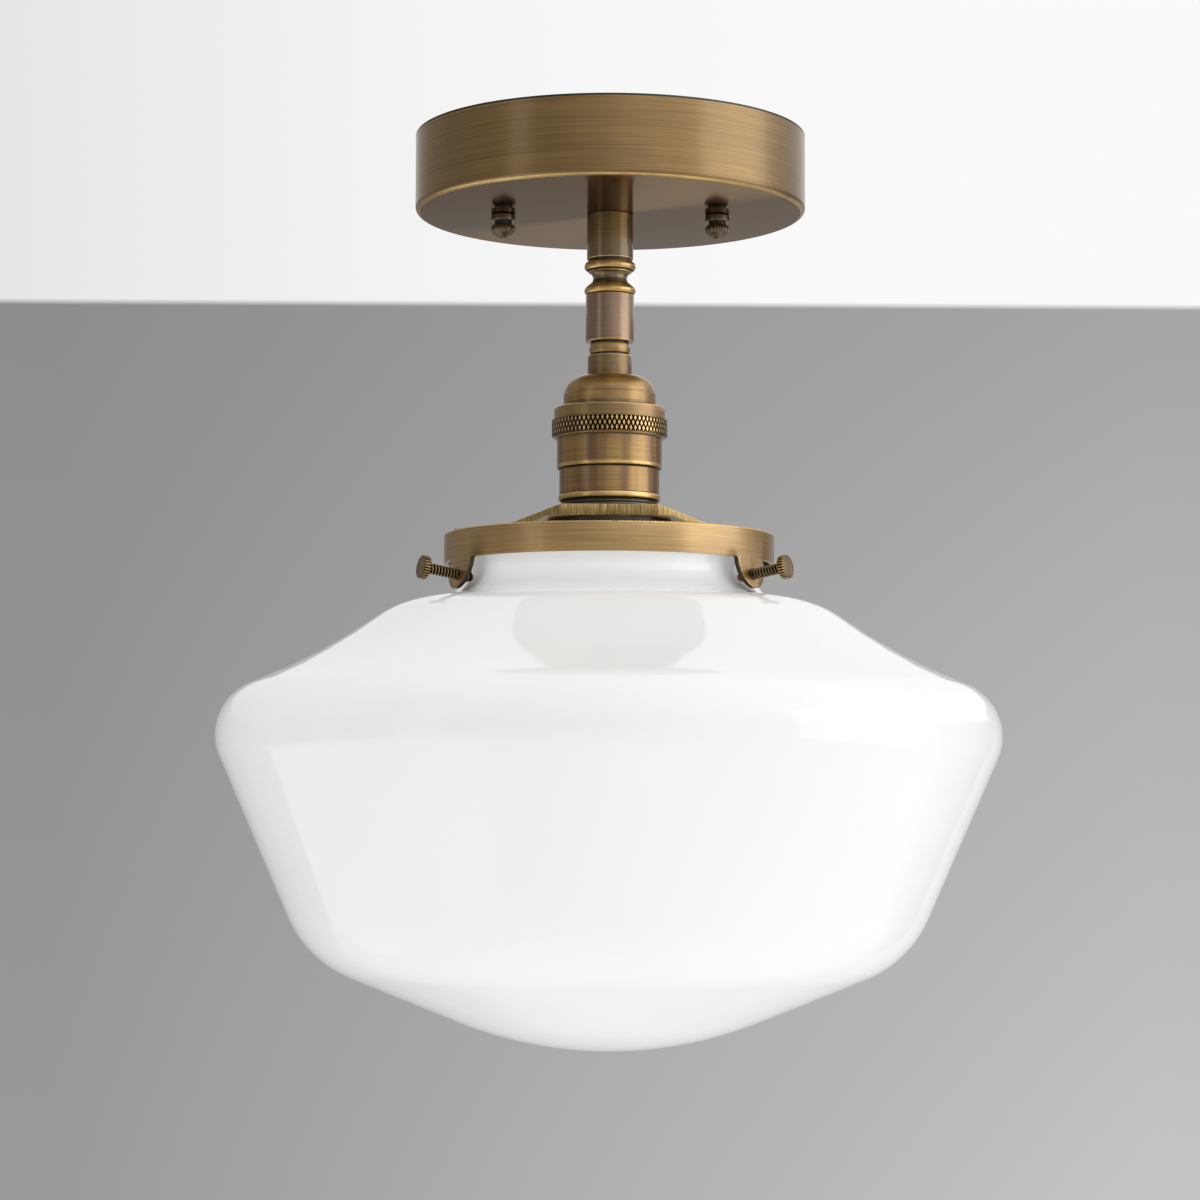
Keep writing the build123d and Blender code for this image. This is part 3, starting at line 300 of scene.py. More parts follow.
# glow: a painted glow of emission. The heights (mm) between which its strength changes, and its strength
# below and above them
glassBasis = {"wave": 45, "relief": 0.05, "rough": 0.06, "milk": 0.1, "depth": 2.0, "glow": None}
glassLooks = {
    "casedOpalGlass": {"tones": ("#fbfbfa", "#f9f9f8"), "glow": (-151, -142, 0.0, 0.23)},
    "casedOpalGlassInside": {"tones": ("#f6f6f5", "#f3f3f2"), "glow": (-200, -142, 0.13, 0.12)},
    "frostedBulbGlass": {"tones": ("#f2f2f0", "#eeeeec"), "wave": 20, "relief": 0.01, "rough": 0.45, "milk": 0.25,
                         "depth": 1.5},
}
glass = {name: glossGlass(name, Settings({**glassBasis, **look})) for name, look in glassLooks.items()}
finishes = {**brass, **plain, **glass}
print("glass and small metals made")


# making pieces

def turned(outline, steps=128, cornerStep=12, closed=True):
    # outline: (radius, height[, corner radius]) in mm, turned round the Z axis
    bm = bmesh.new()
    points = [bm.verts.new((p[0] * mm, 0, p[1] * mm)) for p in outline]
    follow = points[1:] + points[:1] if closed else points[1:]
    for a, b in zip(points, follow):
        bm.edges.new((a, b))
    flat = [Vector(p[:2]) for p in outline]
    for i, p in enumerate(outline):
        if len(p) > 2:
            turn = (flat[i] - flat[i - 1]).angle(flat[(i + 1) % len(flat)] - flat[i])
            bmesh.ops.bevel(bm, geom=[points[i]], offset=p[2] * mm * tan(turn / 2),
                            segments=max(2, round(degrees(turn) / cornerStep)), profile=0.5, material=-1)
    return spun(bm, steps)


def spun(bm, steps):
    line = bm.verts[:] + bm.edges[:]
    bmesh.ops.spin(bm, geom=line, axis=(0, 0, 1), angle=2 * pi, steps=steps, use_merge=True)
    bmesh.ops.remove_doubles(bm, verts=bm.verts[:], dist=0.002 * mm)
    bmesh.ops.recalc_face_normals(bm, faces=bm.faces[:])
    return bm


def paintBands(bm, bands):
    # bands: (material number, low, high, inner radius), in mm
    for face in bm.faces:
        middle = face.calc_center_median() / mm
        reach = hypot(middle.x, middle.y)
        for number, low, high, inner in bands:
            if low < middle.z < high and inner < reach:
                face.material_index = number


def openEdges(bm):
    return [e for e in bm.edges if len(e.link_faces) < 2]


def cutEnds(bm, low, high):
    for height, side in ((low, -1), (high, 1)):
        bmesh.ops.bisect_plane(bm, geom=bm.verts[:] + bm.edges[:] + bm.faces[:], dist=0.0001 * mm,
                               plane_co=(0, 0, height * mm), plane_no=(0, 0, side), clear_outer=True)


def threaded(crest, root, pitch, low, high, perTurn=24, hole=0):
    # a helix of V grooves from low to high, cut off square at both ends; hole is the radius of a bore. Every pitch is
    # about half as coarse again as the real one where the thread would be too fine to show.
    bm = bmesh.new()
    start = low - 1.5 * pitch
    line = [bm.verts.new((r * mm, 0, (start + z * pitch) * mm))
            for r, z in ((root, 0), (crest, 0.35), (crest, 0.6), (root, 1))]
    edges = [bm.edges.new((a, b)) for a, b in zip(line, line[1:])]
    bmesh.ops.spin(bm, geom=line + edges, axis=(0, 0, 1), dvec=(0, 0, pitch * mm / perTurn),
                   angle=2 * pi, steps=perTurn)
    firstTurn = bm.verts[:] + bm.edges[:] + bm.faces[:]
    for k in range(1, int((high - low) / pitch) + 4):
        more = bmesh.ops.duplicate(bm, geom=firstTurn)["geom"]
        bmesh.ops.translate(bm, verts=[v for v in more if isinstance(v, bmesh.types.BMVert)],
                            vec=(0, 0, k * pitch * mm))
    bmesh.ops.remove_doubles(bm, verts=bm.verts[:], dist=0.002 * mm)
    cutEnds(bm, low, high)
    if hole:
        for height in (low, high):
            bmesh.ops.create_circle(bm, radius=hole * mm, segments=48, cap_ends=False,
                                    matrix=Matrix.Translation((0, 0, height * mm)))
            bmesh.ops.bridge_loops(bm, edges=[e for e in openEdges(bm)
                                              if all(abs(v.co.z - height * mm) < 0.001 * mm for v in e.verts)])
        bmesh.ops.bridge_loops(bm, edges=openEdges(bm))
    else:
        bmesh.ops.holes_fill(bm, edges=openEdges(bm), sides=0)
    bmesh.ops.recalc_face_normals(bm, faces=bm.faces[:])
    if bm.calc_volume(signed=True) < 0:
        bmesh.ops.reverse_faces(bm, faces=bm.faces[:])
    return bm


def softenEdges(bm, width, sharper=35, segments=2):
    # rounds every edge that turns more than this many degrees, and returns the new faces
    edges = [e for e in bm.edges if len(e.link_faces) == 2 and e.calc_face_angle(0) > radians(sharper)]
    made = bmesh.ops.bevel(bm, geom=edges, offset=width * mm, affect="EDGES",
                           segments=segments, profile=0.5, material=-1, clamp_overlap=True)
    return made["faces"]


def cadCopy(node):
    # the solid's own shape as one clean mesh, ready for its edges to be softened
    bm = bmesh.new()
    bm.from_mesh(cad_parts[node].data)
    bmesh.ops.remove_doubles(bm, verts=bm.verts[:], dist=0.001 * mm)
    bmesh.ops.dissolve_limit(bm, angle_limit=radians(0.5), verts=bm.verts[:], edges=bm.edges[:])
    return bm


def addMesh(bm, other):
    mesh = bpy.data.meshes.new("loose")
    other.to_mesh(mesh)
    other.free()
    bm.from_mesh(mesh)
    bpy.data.meshes.remove(mesh)


def makePiece(name, bm, worn, stands=(), body="fixture", sharp=40):
    # worn: the finishes that the faces' material numbers count
    mesh = bpy.data.meshes.new(name)
    bm.to_mesh(mesh)
    bm.free()
    mesh.shade_smooth()
    mesh.set_sharp_from_angle(angle=radians(sharp))
    for finish in worn:
        mesh.materials.append(finishes[finish])
    piece = bpy.data.objects.new(name, mesh)
    scene.collection.objects.link(piece)
    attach(piece, body)
    if stands:
        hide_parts(*stands)


# canopy

canopyPan = {
    "radius": 63.5, "depth": 25.4, "wall": 1.2, "hole": 5.0,
    # the top of the wall is painted near black: a painted shadow where the ceiling would shade the gap above the rim
    "lowerEdge": 1.8, "rimEdge": 0.25, "insideCorner": 0.6, "darkRim": 0.7,
    # the bright lower edge is a rubbed edge with a painted highlight on it
    "faceEdge": 0.05, "brightEdge": 0.7,  # heights over the underside at which the bright edge starts and ends
}

pan = Settings(canopyPan)
inside, floorTop = pan.radius - pan.wall, pan.wall - pan.depth
bm = turned([
    (pan.hole, -pan.depth), (pan.radius, -pan.depth, pan.lowerEdge), (pan.radius, -pan.darkRim),
    (pan.radius, 0, pan.rimEdge), (inside, 0, pan.rimEdge), (inside, floorTop, pan.insideCorner),
    (pan.hole, floorTop),
], steps=256, cornerStep=9)
# the underside takes its own finish; the lower edge is bright, a rubbed edge with a painted highlight; the top of the
# wall is near black, a painted shadow where the ceiling would shade the gap above it
paintBands(bm, [(1, -pan.depth - 0.1, pan.faceEdge - pan.depth, 0),
                (2, pan.faceEdge - pan.depth, pan.brightEdge - pan.depth, pan.radius - pan.lowerEdge),
                (3, -pan.darkRim, 0.1, inside - 0.1)])
makePiece("canopyPan", bm, ["spunBrownedBrass", "spunBrownedBrassFace", "rubbedAndHighlitBrass", "blackenedAndShadedBrass"],
          ["canopy"])
print("canopy made")


# stem, from the canopy down

stemPieces = {
    # name: CAD node, finish, radius, top, foot, broken edge (mm)
    "stemTube": ("stem_tube", "drawnDarkBrass", 7.55, -25.4, -40.3, 0.35),
    "stemSleeve": ("stem_sleeve", "drawnBrownedBrass", 7.85, -51.9, -67.4, 0.35),
    "socketCollar": ("socket_collar", "turnedGoldenBrass", 7.175, -71.8, -78.6, 0.35),
}
stemBore = 5.0
stemSkin = stemBore + 0.2  # anything farther out is not the bore

for name, (node, finish, radius, top, foot, edge) in stemPieces.items():
    bm = turned([(stemBore, foot), (radius, foot, edge), (radius, top, edge), (stemBore, top)],
                steps=96, cornerStep=22)
    skin = radius - 0.9  # anything farther out is the side or its broken edges
    # the broken edges are bright: rubbed edges with a painted highlight on them
    bands = [(1, foot - 1, foot + edge, skin), (1, top - edge, top + 1, skin)]
    paintBands(bm, bands[:1] if name == "stemTube" else bands)
    makePiece(name, bm, [finish, "rubbedAndHighlitBrass"], [node])

turnedNeck = {
    "top": -40.3, "foot": -51.9,
    "groove": (7.2, 0.9), "bead": (8.35, 2.8, 1.33),  # radius, height, roundness
    "fillet": (7.0, 0.5), "hollow": (4.964, -45.095, 2.02),  # its corner, before it is rounded
    "waist": (5.65, -47.1, -47.9), "ridge": 6.1, "slopeTop": -49.866,
    "rimHeight": 0.12, "darkSlope": 0.3,  # of the slope below the ridge
    "creases": {"foot": 0.2, "fillet": 0.22, "bead": 0.25, "top": 0.15},  # how far browning and painted shade climb out of each
}

neck = Settings(turnedNeck)
beadRadius, beadHeight, beadRound = neck.bead
grooveRadius, grooveHeight = neck.groove
filletRadius, filletHeight = neck.fillet
waistRadius, waistTop, waistFoot = neck.waist
rimFoot = waistFoot - neck.rimHeight
crease = neck.creases
beadTop = neck.top - grooveHeight
beadFoot = beadTop - beadHeight
filletFoot = beadFoot - filletHeight
slope = Vector((beadRadius - neck.ridge, neck.slopeTop - waistFoot))
darkEnd = Vector((neck.ridge, waistFoot)) + neck.darkSlope * slope
outline = [
    (stemBore, neck.foot), (beadRadius, neck.foot, beadRound), (beadRadius, neck.slopeTop, beadRound), tuple(darkEnd),
    (neck.ridge + 0.05, rimFoot), (neck.ridge, waistFoot), (waistRadius, waistFoot), (waistRadius, waistTop),
    neck.hollow, (filletRadius, filletFoot), (filletRadius, filletFoot + crease["fillet"]), (filletRadius, beadFoot),
    (beadRadius, beadFoot, beadRound), (beadRadius, beadTop, beadRound), (grooveRadius, beadTop),
    (grooveRadius, neck.top), (stemBore, neck.top),
]
bm = turned(outline, steps=96, cornerStep=11)
# gold on the beads and slope: rubbed brass with painted highlights. Near black in the waist, just under the ridge and
# in the creases: browning kept in the hollows, with painted shade
paintBands(bm, [
    (1, neck.foot, beadTop, stemSkin),
    (0, waistTop, filletFoot, stemSkin),
    (2, waistFoot - 0.05, waistTop, stemSkin),
    (2, darkEnd.y, rimFoot, stemSkin),
    (2, neck.foot - 0.1, neck.foot + crease["foot"], stemSkin),
    (2, filletFoot + crease["fillet"], beadFoot + crease["bead"], stemSkin),
    (2, beadTop - crease["top"], neck.top + 0.1, stemSkin),
])
makePiece("turnedNeck", bm, ["drawnDarkBrass", "rubbedAndHighlitBrass", "blackenedAndShadedBrass"], ["turned_neck"])

spacerRing = {
    "radius": 6.7, "endRadius": 6.1, "endHeight": 0.5, "round": 1.65, "top": -67.4, "foot": -71.8, "crease": 0.12,
}

part = Settings(spacerRing)
barrelTop, barrelFoot = part.top - part.endHeight, part.foot + part.endHeight
bm = turned([
    (stemBore, part.foot), (part.endRadius, part.foot), (part.endRadius, barrelFoot - 0.01),
    (part.radius, barrelFoot, part.round), (part.radius, barrelTop, part.round),
    (part.endRadius, barrelTop + 0.01), (part.endRadius, part.top), (stemBore, part.top),
], steps=96, cornerStep=11)
# painted shade: the narrow ends, where the barrel meets its neighbours, are near black
paintBands(bm, [(1, part.foot - 1, barrelFoot + part.crease, stemSkin),
                (1, barrelTop - part.crease, part.top + 1, stemSkin)])
makePiece("spacerRing", bm, ["stampedGoldenBrass", "blackenedAndShadedBrass"], ["spacer_ring"])
print("stem made")


# lamp holder

socketDome = {
    "bore": 4.9, "radius": 14.8, "top": -78.6, "corner": 6.5, "wall": 1.2, "footRadius": 15.0, "footTop": -84.5,
    "darkTop": -87.6, "flangeTop": -89.85, "flangeFoot": -91.05, "flangeRadius": 16.7,
}

cap = Settings(socketDome)
capInside = cap.radius - cap.wall
bm = turned([
    (cap.bore, cap.top), (cap.radius, cap.top, cap.corner), (cap.radius, cap.footTop),
    (cap.footRadius, cap.footTop - 0.2), (cap.footRadius, cap.darkTop), (cap.footRadius, cap.flangeTop),
    (cap.flangeRadius, cap.flangeTop), (cap.flangeRadius, cap.flangeFoot), (capInside, cap.flangeFoot),
    (capInside, cap.top - cap.wall, cap.corner - cap.wall), (cap.bore, cap.top - cap.wall),
], cornerStep=7)
# painted shade: the lower part of the upright foot under the dome is darker
paintBands(bm, [(1, cap.flangeTop + 0.1, cap.darkTop + 0.1, capInside + 0.1)])
makePiece("socketDome", bm, ["stampedGoldenBrass", "drawnDarkBrass"], ["socket_cap"], sharp=30)

knurledRing = {
    "bore": 15.05, "lip": 17.1, "lipHeight": 0.9, "top": -88.9, "bandRadius": 18.0, "bandFoot": -93.2, "topEdge": 0.8,
    "knurlRoot": 18.1, "knurlTop": 18.74, "knurlFoot": -98.3, "footRadius": 18.2, "foot": -99.2, "footRound": 0.7,
    "diamonds": 76, "diamondHeight": 3.2, "grooveWidth": 0.28, "rows": 4,
}

ring = Settings(knurledRing)
root, backing = ring.knurlRoot, ring.knurlRoot - 0.5
bm = turned([
    (ring.lip, ring.foot), (ring.footRadius, ring.foot, ring.footRound), (ring.footRadius, ring.knurlFoot, 0.15),
    (backing, ring.knurlFoot), (backing, ring.bandFoot), (ring.bandRadius, ring.bandFoot, 0.15),
    (ring.bandRadius, ring.top, ring.topEdge), (ring.bore, ring.top), (ring.bore, ring.top - ring.lipHeight),
    (ring.lip, ring.top - ring.lipHeight),
], cornerStep=15)
# the top edge is bright, a rubbed edge with a painted highlight; the rounded foot is darker
paintBands(bm, [(1, ring.top - 0.5, ring.top + 1, ring.bandRadius - 1),
                (2, ring.foot - 1, ring.foot + ring.footRound - 0.15, ring.lip + 0.1)])
makePiece("capRing", bm, ["satinTurnedBrass", "rubbedAndHighlitBrass", "drawnDarkBrass"], ["cap_ring"])

# one upright row of the knurl's diamonds, raised out of its grooves and then repeated round the band
bm = bmesh.new()
half, rise = pi / ring.diamonds, ring.diamondHeight / 2
middle = (ring.bandFoot + ring.knurlFoot) / 2
for row in range(-ring.rows, ring.rows + 1):
    turn, height = (half if row % 2 else 0), middle + row * rise
    corners = [(turn, height - rise), (turn + half, height), (turn, height + rise), (turn - half, height)]
    bm.faces.new([bm.verts.new((root * cos(a) * mm, root * sin(a) * mm, z * mm)) for a, z in corners])
bm.normal_update()
raised = bmesh.ops.inset_individual(bm, faces=bm.faces[:], thickness=ring.grooveWidth * mm,
                                    depth=(ring.knurlTop - root) * mm, use_even_offset=True)
# painted highlight and shade: the diamonds' tops are bright, the sides of their grooves near black
for face in raised["faces"]:
    face.material_index = 1
bmesh.ops.spin(bm, geom=bm.verts[:] + bm.edges[:] + bm.faces[:], axis=(0, 0, 1),
               angle=2 * pi * (ring.diamonds - 1) / ring.diamonds, steps=ring.diamonds - 1, use_duplicate=True)
bmesh.ops.remove_doubles(bm, verts=bm.verts[:], dist=0.003 * mm)
cutEnds(bm, ring.knurlFoot, ring.bandFoot)
made = bmesh.ops.extrude_edge_only(bm, edges=openEdges(bm))
for v in [g for g in made["geom"] if isinstance(g, bmesh.types.BMVert)]:
    v.co.xy = v.co.xy.normalized() * (backing - 0.1) * mm
bmesh.ops.bridge_loops(bm, edges=openEdges(bm))
bmesh.ops.recalc_face_normals(bm, faces=bm.faces[:])
makePiece("knurlDiamonds", bm, ["rubbedAndHighlitBrass", "blackenedAndShadedBrass"], sharp=15)

steppedShell = {
    "top": -91.1, "radius": 17.05, "stepTop": -108.7, "stepHeight": 0.5, "lowRadius": 16.25,
    "beadTop": -117.5, "beadRadius": 16.55, "beadRound": 0.95, "threadTop": -119.6, "threadCrest": 15.75,
    "threadRoot": 15.3, "pitch": 0.9, "foot": -130.6, "wall": 1.0, "mouth": 14.0, "mouthLip": 0.7,
    "brightRise": 1.0, "stepDark": 0.3, "beadDark": 0.25, "threadDark": 0.35,  # heights of bands
}

shell = Settings(steppedShell)
wall, stepFoot = shell.wall, shell.stepTop - shell.stepHeight
threadInside = shell.threadRoot - 0.55
bared = shell.lowRadius - 0.25  # anything farther out is the outside
bm = turned([
    (shell.radius - wall, shell.top), (shell.radius - wall, shell.stepTop), (shell.lowRadius - wall, stepFoot),
    (shell.lowRadius - wall, shell.beadTop), (threadInside, shell.threadTop),
    (threadInside, shell.foot + shell.mouthLip), (shell.mouth, shell.foot + shell.mouthLip),
    (shell.mouth, shell.foot), (shell.threadRoot, shell.foot, 0.3), (shell.threadRoot, shell.threadTop),
    (shell.beadRadius, shell.threadTop, shell.beadRound), (shell.beadRadius, shell.beadTop, shell.beadRound),
    (shell.lowRadius, shell.beadTop + 0.01), (shell.lowRadius, shell.beadTop + shell.beadDark),
    (shell.lowRadius, stepFoot - shell.stepDark), (shell.lowRadius, stepFoot, 0.12),
    (shell.radius, shell.stepTop, 0.4), (shell.radius, shell.stepTop + shell.brightRise), (shell.radius, shell.top),
])
# the step's edge and the bead are bright: rubbed brass with painted highlights. The bands under the step, above the
# bead and over the thread are near black: browning with painted shade
paintBands(bm, [
    (1, shell.stepTop - 0.3, shell.stepTop + shell.brightRise, shell.radius - 0.35),
    (1, shell.threadTop + 0.5, shell.beadTop, bared), (2, shell.beadTop, shell.beadTop + shell.beadDark, bared),
    (2, shell.foot - 1, shell.threadTop + shell.threadDark, threadInside + 0.15),
    (2, stepFoot - shell.stepDark, shell.stepTop - 0.2, bared),
])
makePiece("steppedShell", bm, ["drawnStreakAndSheenBrass", "rubbedAndHighlitBrass", "blackenedAndShadedBrass"], ["socket_shell"])

bm = threaded(shell.threadCrest, shell.threadRoot, shell.pitch, shell.foot + 0.6, shell.threadTop - 0.15, perTurn=96,
              hole=shell.threadRoot - 0.2)
makePiece("shellThread", bm, ["rolledDarkThread"], sharp=25)
print("lamp holder made")


# bridge, ring and fitter

strapEdges = {
    "softness": 0.3,  # mm
    "side": 0.4, "light": 0.2,  # how flat a filed side is at most, and how far up a bright edge faces at least
}

part = Settings(strapEdges)
bm = cadCopy("shade_bridge")
softened = softenEdges(bm, part.softness, sharper=25)
bm.normal_update()
for face in bm.faces:
    face.material_index = 1 if abs(face.normal.z) < part.side else 0
# painted highlight: softened edges that face upwards are made bright, as where they catch the light
for face in softened:
    if face.normal.z > part.light:
        face.material_index = 2
makePiece("shadeBridge", bm, ["stampedGoldenBrass", "filedBrass", "rubbedAndHighlitBrass"], ["shade_bridge"], sharp=30)

lockRing = {"bore": 15.8, "radius": 20.0, "top": -125.7, "foot": -129.2, "lowerEdge": 0.9}

part = Settings(lockRing)
bm = turned([(part.bore, part.foot, 0.3), (part.radius, part.foot, part.lowerEdge), (part.radius, part.top),
             (part.bore, part.top)], cornerStep=15)
# painted shade: the whole ring is near black, as it lies in shade under the strap; its lower edge is a painted
# highlight
paintBands(bm, [(1, part.foot + 0.1, part.foot + part.lowerEdge, part.radius - 0.8)])
makePiece("lockRing", bm, ["blackenedAndShadedBrass", "rubbedAndHighlitBrass"], ["retaining_ring"])

fitterEdges = {
    "softness": 0.25, "inner": 51.9, "top": -130.6, "tabTop": -140.1, "tabFoot": -149.8,
    "tabs": (-33, -153, 87),  # degrees round the ring
    "fuller": 0.22,  # how far the tabs' sides bulge, as a share of their half width
}

part = Settings(fitterEdges)
bm = cadCopy("fitter_ring")
for v in bm.verts:
    # the tabs' sides bulge a little before they round in at the foot
    down = (part.tabTop - v.co.z / mm) / (part.tabTop - part.tabFoot)
    if 0 < down < 1:
        turn = degrees(atan2(v.co.y, v.co.x))
        centre = min(part.tabs, key=lambda tab: abs((turn - tab + 180) % 360 - 180))
        off = (turn - centre + 180) % 360 - 180
        wider = radians(centre + off * (1 + part.fuller * sin(pi * down)))
        v.co.xy = Vector((cos(wider), sin(wider))) * v.co.xy.length
softened = set(softenEdges(bm, part.softness, sharper=40))
bm.normal_update()
# painted shade and highlight: faces turned inwards and the tabs' cut sides are near black; the top edge and the tabs'
# softened edges are bright, rubbed and painted as highlights
for face in bm.faces:
    middle = face.calc_center_median() / mm
    reach = hypot(middle.x, middle.y)
    outward = face.normal.dot(Vector((middle.x, middle.y, 0)).normalized())
    if outward < -0.5 or (middle.z < part.tabTop and abs(outward) < 0.3):
        face.material_index = 2  # inside, and the tabs' cut sides
    elif (middle.z > part.top - 0.5 or (face in softened and middle.z < part.tabTop)) and reach > part.inner:
        face.material_index = 1
makePiece("fitterBand", bm, ["rolledBrushedBrass", "rubbedAndHighlitBrass", "blackenedAndShadedBrass"], ["fitter_ring"],
          sharp=30)
print("bridge and fitter made")


# thumb screws

thumbScrew = {
    "turns": dict(zip(("right", "left", "back"), fitterEdges["tabs"])),  # degrees round the ring
    "reach": 54.224, "height": -145.2, "lean": 9, "tipBack": -5.61,  # mm from the tab's face
    "crest": 1.75, "root": 1.15, "pitch": 1.05, "length": 15.9, "tipLength": 0.8, "tipRadius": 1.0,
    "neckRadius": 1.45, "neckLength": 0.5, "headRadius": 3.75, "headHeight": 2.1, "ribs": 26, "ribDepth": 0.42,
    # its face: a border, then a groove, then rings that step up and down
    "border": 0.55, "groove": 0.12, "rings": 5, "ringWidth": 0.28, "ringSlope": 0.1, "ringDepth": 0.06,
    "rimEdge": 0.25,  # mm
}


def inGroove(v, ribs):
    # one column of vertices in four lies in the bottom of a groove between two ribs
    return round(degrees(atan2(v.co.y, v.co.x)) / 360 * 4 * ribs) % 4 == 2


def ribbedHead(part, low):
    # a milled head: a disc whose rim is drawn in between the ribs, with rings turned in its face
    bm = bmesh.new()
    radius = part.headRadius * mm
    bmesh.ops.create_cone(bm, cap_ends=True, segments=4 * part.ribs, radius1=radius, radius2=radius,
                          depth=part.headHeight * mm,
                          matrix=Matrix.Translation((0, 0, (low + part.headHeight / 2) * mm)))
    face = max(bm.faces, key=lambda f: f.calc_center_median().z)
    bmesh.ops.inset_region(bm, faces=[face], thickness=part.border * mm, depth=0)
    bmesh.ops.inset_region(bm, faces=[face], thickness=part.groove * mm, depth=-part.groove * mm)
    for k in range(part.rings):
        bmesh.ops.inset_region(bm, faces=[face], thickness=part.ringWidth * mm, depth=0)
        bmesh.ops.inset_region(bm, faces=[face], thickness=part.ringSlope * mm,
                               depth=part.ringDepth * mm * (-1 if k % 2 else 1))
    rims = [e for e in bm.edges if len(e.link_faces) == 2 and e.calc_face_angle(0) > radians(60)
            and hypot(*e.verts[0].co[:2]) > 0.95 * radius]
    bmesh.ops.bevel(bm, geom=rims, offset=part.rimEdge * mm, affect="EDGES", segments=2, profile=0.5, material=-1)
    for v in bm.verts:
        if hypot(v.co.x, v.co.y) > 0.9 * radius and inGroove(v, part.ribs):
            v.co.xy = v.co.xy * (1 - part.ribDepth * mm / radius)
    return bm


part = Settings(thumbScrew)
tipTop = part.tipBack + part.tipLength
headFoot = part.tipBack + part.length
neckFoot = headFoot - part.neckLength
lean = radians(part.lean)
for side, turn in part.turns.items():
    bm = ribbedHead(part, headFoot)
    # painted highlight and shade: the ribs' outer faces are lighter and their valleys near black
    for face in bm.faces:
        rim = max(hypot(*v.co[:2]) for v in face.verts) > 0.93 * part.headRadius * mm
        face.material_index = 2 if rim and any(inGroove(v, part.ribs) for v in face.verts) else 1 if rim else 0
    bmesh.ops.create_cone(bm, cap_ends=True, segments=24, radius1=part.neckRadius * mm, radius2=part.neckRadius * mm,
                          depth=1.2 * part.neckLength * mm,
                          matrix=Matrix.Translation((0, 0, (neckFoot + headFoot) / 2 * mm)))
    bmesh.ops.create_cone(bm, cap_ends=True, segments=24, radius1=part.tipRadius * mm, radius2=part.root * mm,
                          depth=part.tipLength * mm,
                          matrix=Matrix.Translation((0, 0, (part.tipBack + tipTop) / 2 * mm)))
    thread = threaded(part.crest, part.root, part.pitch, tipTop, neckFoot, perTurn=20)
    # painted highlight and shade: the thread's crests are lighter, its flanks and roots near black
    for face in thread.faces:
        face.material_index = 1 if hypot(*face.calc_center_median()[:2]) > (part.crest - 0.1) * mm else 2
    addMesh(bm, thread)
    out = Vector((cos(radians(turn)), sin(radians(turn)), 0))
    line = cos(lean) * out + Vector((0, 0, sin(lean)))
    seat = (part.reach * out + Vector((0, 0, part.height))) * mm
    aimed = line.to_track_quat("Z", "Y").to_matrix().to_4x4()
    bmesh.ops.transform(bm, verts=bm.verts[:], matrix=Matrix.Translation(seat) @ aimed)
    makePiece("thumbScrew" + side.capitalize(), bm, ["milledBrownedBrass", "stampedGoldenBrass", "blackenedAndShadedBrass"],
              ["thumb_screw_" + side], body="screw_" + side, sharp=30)
print("thumb screws made")


# canopy knobs

canopyKnob = {
    "spacing": 69.85, "top": -25.45, "bore": 2.13, "boreFoot": -31.3, "radius": 3.95, "collarHeight": 2.2,
    "neckRadius": 2.8, "neckHeight": 1.1, "edge": 0.4,
    "ballHeight": 4.2, "shoulder": 1.3, "cheek": (2.35, 1.6), "chin": 1.6, "chinRound": 0.5,
    "tipRadius": 1.1, "tipHeight": 0.4, "tipRound": 0.2, "ribs": 24, "ribDepth": 0.2,
}

part = Settings(canopyKnob)
collarFoot = part.top - part.collarHeight
ballTop = collarFoot - part.neckHeight
ballFoot = ballTop - part.ballHeight
tipFoot = ballFoot - part.tipHeight
cheekFall, cheekRound = part.cheek
for side, place in (("left", -part.spacing / 2), ("right", part.spacing / 2)):
    bm = turned([
        (0, part.boreFoot), (part.bore, part.boreFoot), (part.bore, part.top),
        (part.radius, part.top, part.edge), (part.radius, collarFoot, part.edge), (part.neckRadius, collarFoot),
        (part.neckRadius, ballTop), (part.radius, ballTop, part.shoulder),
        (part.radius, ballTop - cheekFall, cheekRound), (part.chin, ballFoot, part.chinRound),
        (part.tipRadius, ballFoot), (part.tipRadius, tipFoot, part.tipRound), (0, tipFoot),
    ], steps=4 * part.ribs, cornerStep=15, closed=False)
    # painted shade: the neck under the collar is near black
    for face in bm.faces:
        middle = face.calc_center_median() / mm
        onNeck = ballTop < middle.z < collarFoot and hypot(middle.x, middle.y) < part.neckRadius + 0.1
        face.material_index = 1 if onNeck else 0
    for v in bm.verts:
        reach = hypot(v.co.x, v.co.y) / mm
        if reach > 0.45 * part.radius and v.co.z < (ballTop - 0.05) * mm and inGroove(v, part.ribs):
            v.co.xy = v.co.xy * (1 - part.ribDepth / part.radius)
    bmesh.ops.translate(bm, verts=bm.verts[:], vec=(place * mm, 0, 0))
    makePiece("canopyKnob" + side.capitalize(), bm, ["darkKnobBrass", "blackenedAndShadedBrass"], ["canopy_knob_" + side],
              body="knob_" + side, sharp=35)
print("knobs made")


# glass

def walkLine(bm, start, heading, moves, stepAngle):
    # a line in the XZ plane from start (mm): straight runs (length, 0) and bends (radius, turn in degrees)
    tip = bm.verts.new((start[0] * mm, 0, start[1] * mm))
    way = radians(heading)
    for size, turn in moves:
        if turn:
            side = 1 if turn > 0 else -1
            centre = tip.co + side * size * mm * Vector((-sin(way), 0, cos(way)))
            tip = bmesh.ops.spin(bm, geom=[tip], cent=centre, axis=(0, -side, 0), angle=radians(abs(turn)),
                                 steps=max(2, round(abs(turn) / stepAngle)))["geom_last"][0]
            way += radians(turn)
        else:
            tip = bmesh.ops.extrude_vert_indiv(bm, verts=[tip])["verts"][0]
            bmesh.ops.translate(bm, verts=[tip], vec=size * mm * Vector((cos(way), 0, sin(way))))
    return tip, degrees(way)


